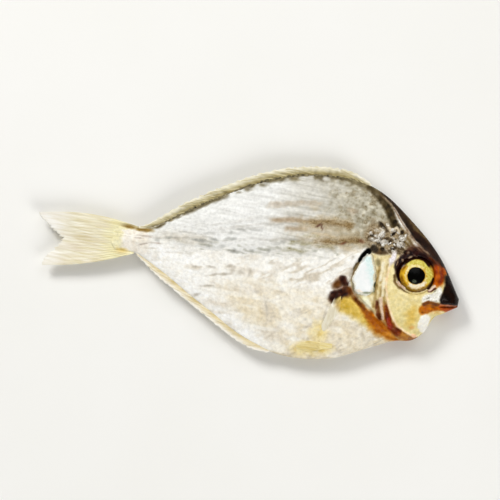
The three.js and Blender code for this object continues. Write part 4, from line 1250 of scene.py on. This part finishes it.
def gill_plate(name, side, material):
    """The thin bony plate on the gill cover, with a rounded free rim."""
    share, turn = round_grid(PLATE_RINGS, PLATE_SEGMENTS, 1)
    c, s = np.cos(turn), np.sin(turn)
    ragged = 0.1 * noise(c * 3, s * 3, 1.0, 83) + 0.05 * noise(c * 9, s * 9, 1.0, 85)
    reach = share * (1 + ragged)
    y = PLATE_Y + PLATE_HALF_Y * reach * s
    x = PLATE_X + PLATE_HALF_X * (1 - PLATE_NARROWING * (y - 1)) * reach * c
    skin_half = half_thickness(x, y)
    crown = PLATE_CROWN * np.sqrt(1 - 0.98 * share**6)
    crown = crown + PLATE_WAVES * rough(x, y, 1.6, 84) * (1 - share**4)
    top = row_points(x, y, middle(x) + side * (skin_half + crown))
    bottom = row_points(x, y, middle(x) + side * (skin_half - PLATE_DEPTH))
    piece = closed_disc(name, top, bottom, material)
    values = {
        "tint": smooth(-0.1, 0.9, (x - 57) / 3.5 + (y - 2) / 7),
        "flesh": spots(x, y, PLATE_FLESH, 0.2, 1.4),
        "rim": smooth(0.75, 1.0, share),
        "tan_rim": smooth(0.6, 1.0, share) * smooth(0.2, 0.8, np.cos(turn - 0.3)),
        "grey": spots(x, y, GILL_GREYS, 0.2, 1.6) * 0.9,
        "green": spots(x, y, GILL_GREENS, 0.3, 1.5),
    }
    set_values(piece, disc_values(values, x.shape))
    return piece


# Fins

def tail_point(s, t):
    """Places of the forked tail fin: s from its top ray to its bottom one, t from the root to the tips."""
    root_y = mix(TAIL_ROOT_TOP, TAIL_ROOT_BOTTOM, s)
    frayed = 0.05 * noise(s * TAIL_RAYS * 2, 0 * s, 1.0, 91)
    forked = TAIL_FORK * smooth(*TAIL_FORK_EDGE, np.minimum(s, 1 - s))
    reach = 1 - forked - np.abs(frayed) * smooth(0.02, 0.1, s * (1 - s))
    tip_x = mix(TAIL_ROOT_X, mix(TAIL_TIP_TOP[0], TAIL_TIP_BOTTOM[0], s), reach)
    tip_y = mix(root_y, mix(TAIL_TIP_TOP[1], TAIL_TIP_BOTTOM[1], s), reach)
    bow = TAIL_BOW * mix(1, TAIL_LOWER_BOW, s) * (1 - 2 * s) * np.sin(t * math.pi)
    x = mix(TAIL_ROOT_X, tip_x, t)
    y = mix(root_y, tip_y, t) + bow
    z = middle(x) + TAIL_WAVE * t * np.sin(s * 5 + t * 2) + TAIL_RIPPLE * t * noise(x, y, (6, 2), 93)
    return x, y, z


def strip_point(fin, s, t):
    """Places of a fin folded down along the back or belly: s from front to rear, t from root to edge."""
    root_x = mix(fin["front"], fin["rear"], s)
    swell = np.sqrt(np.clip(np.minimum(s * STRIP_RISE, (1 - s) * STRIP_FALL), 0, 1))
    step = 0.5
    slope = (along(fin["line"], root_x + step) - along(fin["line"], root_x - step)) / (2 * step)
    length = np.hypot(1, slope)
    outward = mix(-STRIP_SINK, fin["height"] * swell, t)
    x = root_x - fin["side"] * slope / length * outward
    y = along(fin["line"], root_x) + fin["side"] * outward / length
    return x, y, middle(x) + STRIP_WAVE * t * np.sin(s * STRIP_WAVES)


def blade_point(fin, s, t):
    """Places of a fin pressed flat on the skin: s from the root to the tips, t across it."""
    fan = fin["spread"] * (t - 0.5) * mix(BLADE_ROOT_SHARE, 1, s)
    reach = fin["length"] * s * (1 - BLADE_ROUNDING * (t - fin["lead"]) ** 2)
    x = fin["x"] + reach * math.cos(fin["angle"]) - fan * math.sin(fin["angle"])
    y = fin["y"] + reach * math.sin(fin["angle"]) + fan * math.cos(fin["angle"])
    return x, y


def grid_shares(columns, rows):
    return np.meshgrid(np.linspace(0, 1, columns + 1), np.linspace(0, 1, rows + 1), indexing="ij")


def fish_places(piece):
    """The places of a piece's points in the fish's frame."""
    points = np.empty(3 * len(piece.data.vertices), np.float32)
    piece.data.vertices.foreach_get("co", points)
    x = points[0::3] / MM - fish_high.x / MM + BODY_LENGTH
    y = points[1::3] / MM - fish_high.y / MM + BACK_TOP
    return x, y


def gold_stained(piece):
    """Marks where the golden skin under a clear fin shows through it."""
    x, y = fish_places(piece)
    near_root = stroke(x, y, FIN_ROOT_LOWER, 0.4, 0.6)
    set_values(piece, {"gold": paint(x, y)["band_gold"] * (1 - near_root)})
    return piece


def tail_stained(piece):
    """Marks where a piece of the tail fin is golden, pale or stained."""
    x, y = fish_places(piece)
    wavy = x + 0.8 * noise(x, y, (2, 0.7), 96)
    set_values(piece, {
        "gold": smooth(-5.5, -1.5, wavy),
        "pale": smooth(-8, -18, wavy),
        "orange": spots(x, y, TAIL_ORANGES, 0.1, 1.7),
        "brown": spots(x, y, TAIL_BROWNS, 0.2, 1.5),
    })
    return piece


def tail_web(material):
    s, t = grid_shares(TAIL_RAYS * TAIL_COLUMNS_A_RAY, TAIL_ROWS)
    x, y, z = tail_point(s, t)
    between_rays = 0.5 - 0.5 * np.cos(2 * math.pi * s * TAIL_RAYS)
    half = mix(*TAIL_WEB, np.sqrt(t)) * mix(1, 0.75, between_rays)
    upper, lower = row_points(x, y, z + half), row_points(x, y, z - half)
    return tail_stained(closed_sheet("tail_fin_web", upper, lower, material))


def web_piece(name, x, y, upper, lower, edge, material):
    """A thin closed fin web that knows how far its points are from the root."""
    piece = closed_sheet(name, row_points(x, y, upper), row_points(x, y, lower), material)
    set_values(piece, {"edge": np.concatenate([edge.ravel(), edge.ravel()])})
    return piece


def strip_web(name, fin, material):
    s, t = grid_shares(fin["spines"] * STRIP_COLUMNS_A_SPINE, STRIP_ROWS)
    scallops = STRIP_SCALLOPS * (0.5 + 0.5 * np.cos(2 * math.pi * s * fin["spines"]))
    ragged = 1 - scallops - STRIP_FRAYS * np.abs(noise(s * 60, 0 * s, 1, 95))
    x, y, z = strip_point(fin, s, t * mix(1, ragged, t))
    half = mix(*STRIP_WEB, t)
    return web_piece(name, x, y, z + half, z - half, smooth(*STRIP_EDGE, t), material)


def blade_web(name, fin, side, material):
    s, t = grid_shares(BLADE_CELLS, BLADE_CELLS)
    x, y = blade_point(fin, s, t)
    surface = half_thickness(x, y)
    ribs = BLADE_RIB * np.cos(2 * math.pi * t * fin["rays"])
    outer = middle(x) + side * (surface + BLADE_LIFT + ribs * s)
    inner = middle(x) + side * (surface - BLADE_SINK)
    return web_piece(name, x, y, outer, inner, smooth(*BLADE_EDGE, s), material)


# Repeated bits, made by node trees

class Growth:
    """A node tree that grows a piece on a guide mesh, with named inputs."""

    def __init__(self, name, inputs):
        self.tree = bpy.data.node_groups.new(name, "GeometryNodeTree")
        self.socket("Geometry", "OUTPUT", "Geometry")
        kinds = {"Geometry": "Geometry", **inputs, "Material": "Material"}
        self.identifiers = {key: self.socket(key, "INPUT", kind) for key, kind in kinds.items()}
        self.given = self.add("NodeGroupInput", {})

    def socket(self, name, direction, kind):
        made = self.tree.interface.new_socket(name=name, in_out=direction, socket_type="NodeSocket" + kind)
        return made.identifier

    def add(self, kind, inputs, **settings):
        return add_node(self.tree, kind, inputs, settings)

    def ended(self, geometry):
        """The tree with its last nodes: real geometry, smooth faces and the material."""
        real = self.add("GeometryNodeRealizeInstances", {"Geometry": geometry})
        rounded = self.add("GeometryNodeSetShadeSmooth", {"Geometry": real["Geometry"]})
        material = {"Geometry": rounded["Geometry"], "Material": self.given["Material"]}
        coloured = self.add("GeometryNodeSetMaterial", material)
        self.add("NodeGroupOutput", {"Geometry": coloured["Geometry"]})
        return self

    def beads(self, points, rotation, fineness, sizes):
        """The tree with a flattened bead on each point, uneven in size."""
        sphere = {"Radius": self.given["Radius"], "Subdivisions": fineness}
        bead = self.add("GeometryNodeMeshIcoSphere", sphere)
        flat = self.add("GeometryNodeTransform", {"Geometry": bead["Mesh"], "Scale": self.given["Shape"]})
        limits = {2: sizes[0], 3: sizes[1], "Seed": self.given["Seed"]}
        uneven = self.add("FunctionNodeRandomValue", limits)
        place = {"Points": points, "Instance": flat["Geometry"], "Rotation": rotation, "Scale": uneven[1]}
        return self.ended(self.add("GeometryNodeInstanceOnPoints", place)["Instances"])


BEAD_INPUTS = {"Radius": "Float", "Shape": "Vector", "Seed": "Int"}


def ray_tree():
    """Fin rays: a tube along each line, tapering from its root to its tip."""
    rays = Growth("fin_rays", {"Root radius": "Float", "Tip radius": "Float", "Sides": "Int"})
    given = rays.given
    line = rays.add("GeometryNodeMeshToCurve", {"Mesh": given["Geometry"]})
    place = rays.add("GeometryNodeSplineParameter", {})
    radii = {"Value": place["Factor"], "To Min": given["Root radius"], "To Max": given["Tip radius"]}
    taper = rays.add("ShaderNodeMapRange", radii)
    ring = rays.add("GeometryNodeCurvePrimitiveCircle", {"Resolution": given["Sides"], "Radius": 1.0})
    shape = {"Curve": line["Curve"], "Profile Curve": ring["Curve"], "Scale": taper["Result"]}
    tube = rays.add("GeometryNodeCurveToMesh", {**shape, "Fill Caps": True})
    return rays.ended(tube["Mesh"])


def scute_tree():
    """Small bony scutes: beads set along a line."""
    scutes = Growth("scutes", {"Spacing": "Float", **BEAD_INPUTS})
    line = scutes.add("GeometryNodeMeshToCurve", {"Mesh": scutes.given["Geometry"]})
    spacing = {"Curve": line["Curve"], "Length": scutes.given["Spacing"]}
    points = scutes.add("GeometryNodeCurveToPoints", spacing, mode="LENGTH")
    aim = scutes.add("FunctionNodeAlignRotationToVector", {"Vector": points["Tangent"]}, axis="X")
    return scutes.beads(points["Points"], aim["Rotation"], SCUTE_FINENESS, SCUTE_SIZES)


def flake_tree():
    """Loose flakes of broken scale: thin beads scattered over a patch of skin."""
    flakes = Growth("flakes", {"Flakes for each square metre": "Float", **BEAD_INPUTS})
    given = flakes.given
    density = {"Density": given["Flakes for each square metre"], "Seed": given["Seed"]}
    scatter = flakes.add("GeometryNodeDistributePointsOnFaces", {"Mesh": given["Geometry"], **density})
    limits = {0: (-FLAKE_TILT, -FLAKE_TILT, 0), 1: (FLAKE_TILT, FLAKE_TILT, FLAKE_TURN)}
    turn = flakes.add("FunctionNodeRandomValue", {**limits, "Seed": given["Seed"]}, data_type="FLOAT_VECTOR")
    tilt = flakes.add("FunctionNodeEulerToRotation", {"Euler": turn[0]})
    turned = {"Rotation": scatter["Rotation"], "Rotate By": tilt["Rotation"]}
    spun = flakes.add("FunctionNodeRotateRotation", turned, rotation_space="LOCAL")
    return flakes.beads(scatter["Points"], spun["Rotation"], FLAKE_FINENESS, FLAKE_SIZES)


def grown(name, guide, growth, values):
    """Runs a node tree on a guide mesh and keeps its result as a plain mesh piece."""
    modifier = guide.modifiers.new("growth", "NODES")
    modifier.node_group = growth.tree
    for input_name, value in values.items():
        modifier[growth.identifiers[input_name]] = value
    graph = bpy.context.evaluated_depsgraph_get()
    mesh = bpy.data.meshes.new_from_object(guide.evaluated_get(graph), depsgraph=graph)
    guide.modifiers.remove(modifier)
    bpy.data.objects.remove(guide)
    mesh.name = name
    face_outwards(mesh)
    return linked(name, mesh)


def line_guide(name, lines):
    """A mesh of bare lines, each an array of points."""
    edges = []
    start = 0
    for line in lines:
        edges += [(start + k, start + k + 1) for k in range(len(line) - 1)]
        start += len(line)
    return mesh_object(name, np.concatenate(lines), [], edges=edges)


def rays_along(name, lines, rays, radii, material):
    root, tip = radii
    values = {"Root radius": root * MM, "Tip radius": tip * MM, "Sides": RAY_SIDES, "Material": material}
    return grown(name, line_guide(name + "_lines", lines), rays, values)


def tail_rays(rays, material):
    lines = []
    t = np.linspace(*TAIL_RAY_SPAN, TAIL_RAY_POINTS)
    for k in range(TAIL_RAYS):
        for branch in (-1, 1):
            s = (k + 0.5 + branch * (BRANCH_ROOT + BRANCH_SPREAD * t**2)) / TAIL_RAYS
            x, y, z = tail_point(s, t)
            lines.append(row_points(x, y, z + mix(*TAIL_RAY_LIFT, t)))
    return tail_stained(rays_along("tail_fin_rays", lines, rays, TAIL_RAY, material))


def strip_spines(name, fin, rays, material):
    lines = []
    uneven = np.random.default_rng(SPINE_SEED).uniform(-1, 1, (fin["spines"], 3))
    p = np.linspace(0, 1, SPINE_POINTS)
    length = fin["front"] - fin["rear"]
    for k, (shift, slant, rise) in enumerate(uneven):
        start = (k + 0.4 + SPINE_SHIFTS * shift) / fin["spines"]
        s = np.clip(start + p * fin["lean"] * (1 + SPINE_SLANTS * slant) / length, *SPINE_SPAN)
        t = SPINE_FOOT + (SPINE_REACH + SPINE_REACHES * rise) * p**0.7
        x, y, z = strip_point(fin, s, t)
        lines.append(row_points(x, y, z + SPINE_LIFT + SPINE_LIFTS * rise))
    return rays_along(name, lines, rays, STRIP_SPINE, material)


def blade_rays(name, fin, side, rays, material):
    lines = []
    s = np.linspace(*BLADE_RAY_SPAN, BLADE_RAY_POINTS)
    for k in range(fin["rays"]):
        t = np.full(s.shape, (k + 0.5) / fin["rays"])
        x, y = blade_point(fin, s, t)
        surface = middle(x) + side * (half_thickness(x, y) + BLADE_RAY_LIFT)
        lines.append(row_points(x, y, surface, RAY_CLEARANCE))
    return rays_along(name, lines, rays, BLADE_RAY, material)


def bead_values(radius, shape, seed, material):
    return {"Radius": radius * MM, "Shape": shape, "Seed": seed, "Material": material}


def back_scutes(material):
    s = np.linspace(*SCUTE_SPAN, SCUTE_LINE_POINTS)
    x, y, z = strip_point(BACK_FIN, s, np.full(s.shape, SCUTE_SHARE))
    guide = line_guide("scute_line", [row_points(x, y, z + SCUTE_LIFT)])
    values = bead_values(SCUTE_RADIUS, SCUTE_SHAPE, SCUTE_SEED, material)
    return grown("back_scutes", guide, scute_tree(), {"Spacing": SCUTE_SPACING * MM, **values})


def nape_flakes(material):
    s, t = grid_shares(NAPE_CELLS, NAPE_CELLS)
    x = FLAKES_X + FLAKES_HALF_X * np.sqrt(s) * np.cos(2 * math.pi * t)
    y = FLAKES_Y + FLAKES_HALF_Y * np.sqrt(s) * np.sin(2 * math.pi * t)
    points = row_points(x, y, middle(x) + half_thickness(x, y))
    index = np.arange(x.size).reshape(x.shape)
    patch = mesh_object("nape_patch", points.reshape(-1, 3), grid_quads(index))
    values = bead_values(FLAKE_RADIUS, FLAKE_SHAPE, FLAKE_SEED, material)
    density = FLAKES_PER_SQUARE_MM / MM**2
    return grown("nape_flakes", patch, flake_tree(), {"Flakes for each square metre": density, **values})


# Stage, in metres

WORLD_COLOUR, WORLD_STRENGTH = (1, 0.99, 0.97, 1), 0.24
# Each light's place, the width of its disc and its power
LIGHTS = {
    "key_light": ((-0.48, 0.48, 0.58), 0.30, 5.0),
    "fill_light": ((0.56, -0.48, 0.56), 0.64, 4.2),
    "back_light": ((0.16, 0.72, 0.88), 0.80, 2.6),
}
FLOOR_HALF, FLOOR_DROP = 1.5, 0.02 * MM
FLOOR_TONES = (241, 240, 235), (243, 242, 238)
CAMERA_ROLL = math.atan2(0.188, 0.982)
VIEW_WIDTH = 0.117
LENS, SENSOR = 300, 36  # millimetres


def soft_light(name, place, size, power):
    """A round area light that faces the fish from its place."""
    lamp = bpy.data.lights.new(name, "AREA")
    lamp.shape = "DISK"
    lamp.size = size
    lamp.energy = power
    rig = linked(name, lamp)
    rig.location = place
    rig.rotation_euler = (-Vector(place)).to_track_quat("-Z", "Y").to_euler()


def floor_piece():
    paper = Finish("pale_floor")
    colour = paper.blend(paper.grain(size_mm=40), *FLOOR_TONES)
    paper.set_surface(colour, roughness=0.9, specular=0.1)
    corners = [(-1, -1), (1, -1), (1, 1), (-1, 1)]
    points = np.array([(a * FLOOR_HALF, b * FLOOR_HALF, -FLOOR_DROP) for a, b in corners])
    return mesh_object("floor", points, [[0, 1, 2, 3]], paper.material)


def photo_camera():
    """Looks straight down, rolled so that the fish slants down to the right as in the photograph."""
    lens = bpy.data.cameras.new("camera")
    lens.lens = LENS
    lens.sensor_width = SENSOR
    camera = linked("camera", lens)
    camera.rotation_euler = (0, 0, CAMERA_ROLL)
    camera.location = (0, 0, VIEW_WIDTH * LENS / SENSOR)
    bpy.context.scene.camera = camera


def studio():
    scene = bpy.context.scene
    scene.view_settings.view_transform = "Standard"
    scene.world = bpy.data.worlds.new("studio")
    scene.world.use_nodes = True
    background = scene.world.node_tree.nodes["Background"]
    background.inputs["Color"].default_value = WORLD_COLOUR
    background.inputs["Strength"].default_value = WORLD_STRENGTH
    for name, light in LIGHTS.items():
        soft_light(name, *light)


# The fish

def place_piece(piece):
    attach(piece, "root")
    return piece


def build_fish():
    rays = ray_tree()
    tail = tail_finish("tail_fin_web", (216, 204, 160), (249, 245, 228))
    tail_ray = tail_finish("tail_fin_ray", (222, 209, 166), (249, 244, 224))
    ray = fin_finish("pale_fin_ray", [(222, 207, 166), (248, 241, 218)])
    strip_tones = (138, 122, 74), (200, 187, 138)
    strip_edge = (222, 214, 180), (250, 246, 230)
    olive = (112, 100, 58)
    back_web = fin_finish("back_fin_web", strip_tones, strip_edge, blotch=olive)
    back_ray = fin_finish("back_fin_spine", [(175, 160, 110), (232, 222, 182)])
    belly_tones = (204, 183, 128), (234, 220, 178)
    belly_edge = (238, 231, 214), (253, 250, 242)
    belly_web = fin_finish("belly_fin_web", belly_tones, belly_edge)
    root_tones = (18, 3, 0), (66, 27, 5)
    clear_tones = (238, 229, 200), (254, 250, 235)
    clear_ray_tones = (226, 217, 188), (250, 244, 225)
    gold_tones = (208, 170, 60), (240, 213, 122)
    clear_web = fin_finish("clear_fin_web", root_tones, clear_tones, ALONG_Y, gold_tones=gold_tones)
    clear_ray = fin_finish("clear_fin_ray", clear_ray_tones, None, ALONG_Y, gold_tones=gold_tones)
    gold_web = fin_finish("pelvic_fin_web", [(226, 204, 128), (248, 236, 186)])
    scute = speckled_finish("scute", (58, 50, 32), (150, 138, 102), size_mm=0.8)
    flake = speckled_finish("broken_scale", (150, 134, 108), (246, 243, 234), size_mm=0.9)
    eye = eye_finish()
    plate = plate_finish()
    skin = body_skin(skin_finish())
    place_piece(skin)
    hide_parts("ponyfish")
    place_piece(tail_web(tail))
    place_piece(tail_rays(rays, tail_ray))
    place_piece(strip_web("back_fin_web", BACK_FIN, back_web))
    place_piece(strip_spines("back_fin_spines", BACK_FIN, rays, back_ray))
    place_piece(strip_web("belly_fin_web", BELLY_FIN, belly_web))
    place_piece(strip_spines("belly_fin_spines", BELLY_FIN, rays, ray))
    for word, side in (("right", 1), ("left", -1)):
        place_piece(eye_piece("eye_" + word, side, eye))
        place_piece(gill_plate("gill_plate_" + word, side, plate))
        breast_web = blade_web("breast_fin_" + word, BREAST_FIN, side, clear_web)
        place_piece(gold_stained(breast_web))
        breast_rays = blade_rays("breast_fin_rays_" + word, BREAST_FIN, side, rays, clear_ray)
        place_piece(gold_stained(breast_rays))
        place_piece(blade_web("pelvic_fin_" + word, PELVIC_FIN, side, gold_web))
        place_piece(blade_rays("pelvic_fin_rays_" + word, PELVIC_FIN, side, rays, gold_web))
    place_piece(back_scutes(scute))
    place_piece(nape_flakes(flake))


build_fish()
floor_piece()
studio()
photo_camera()
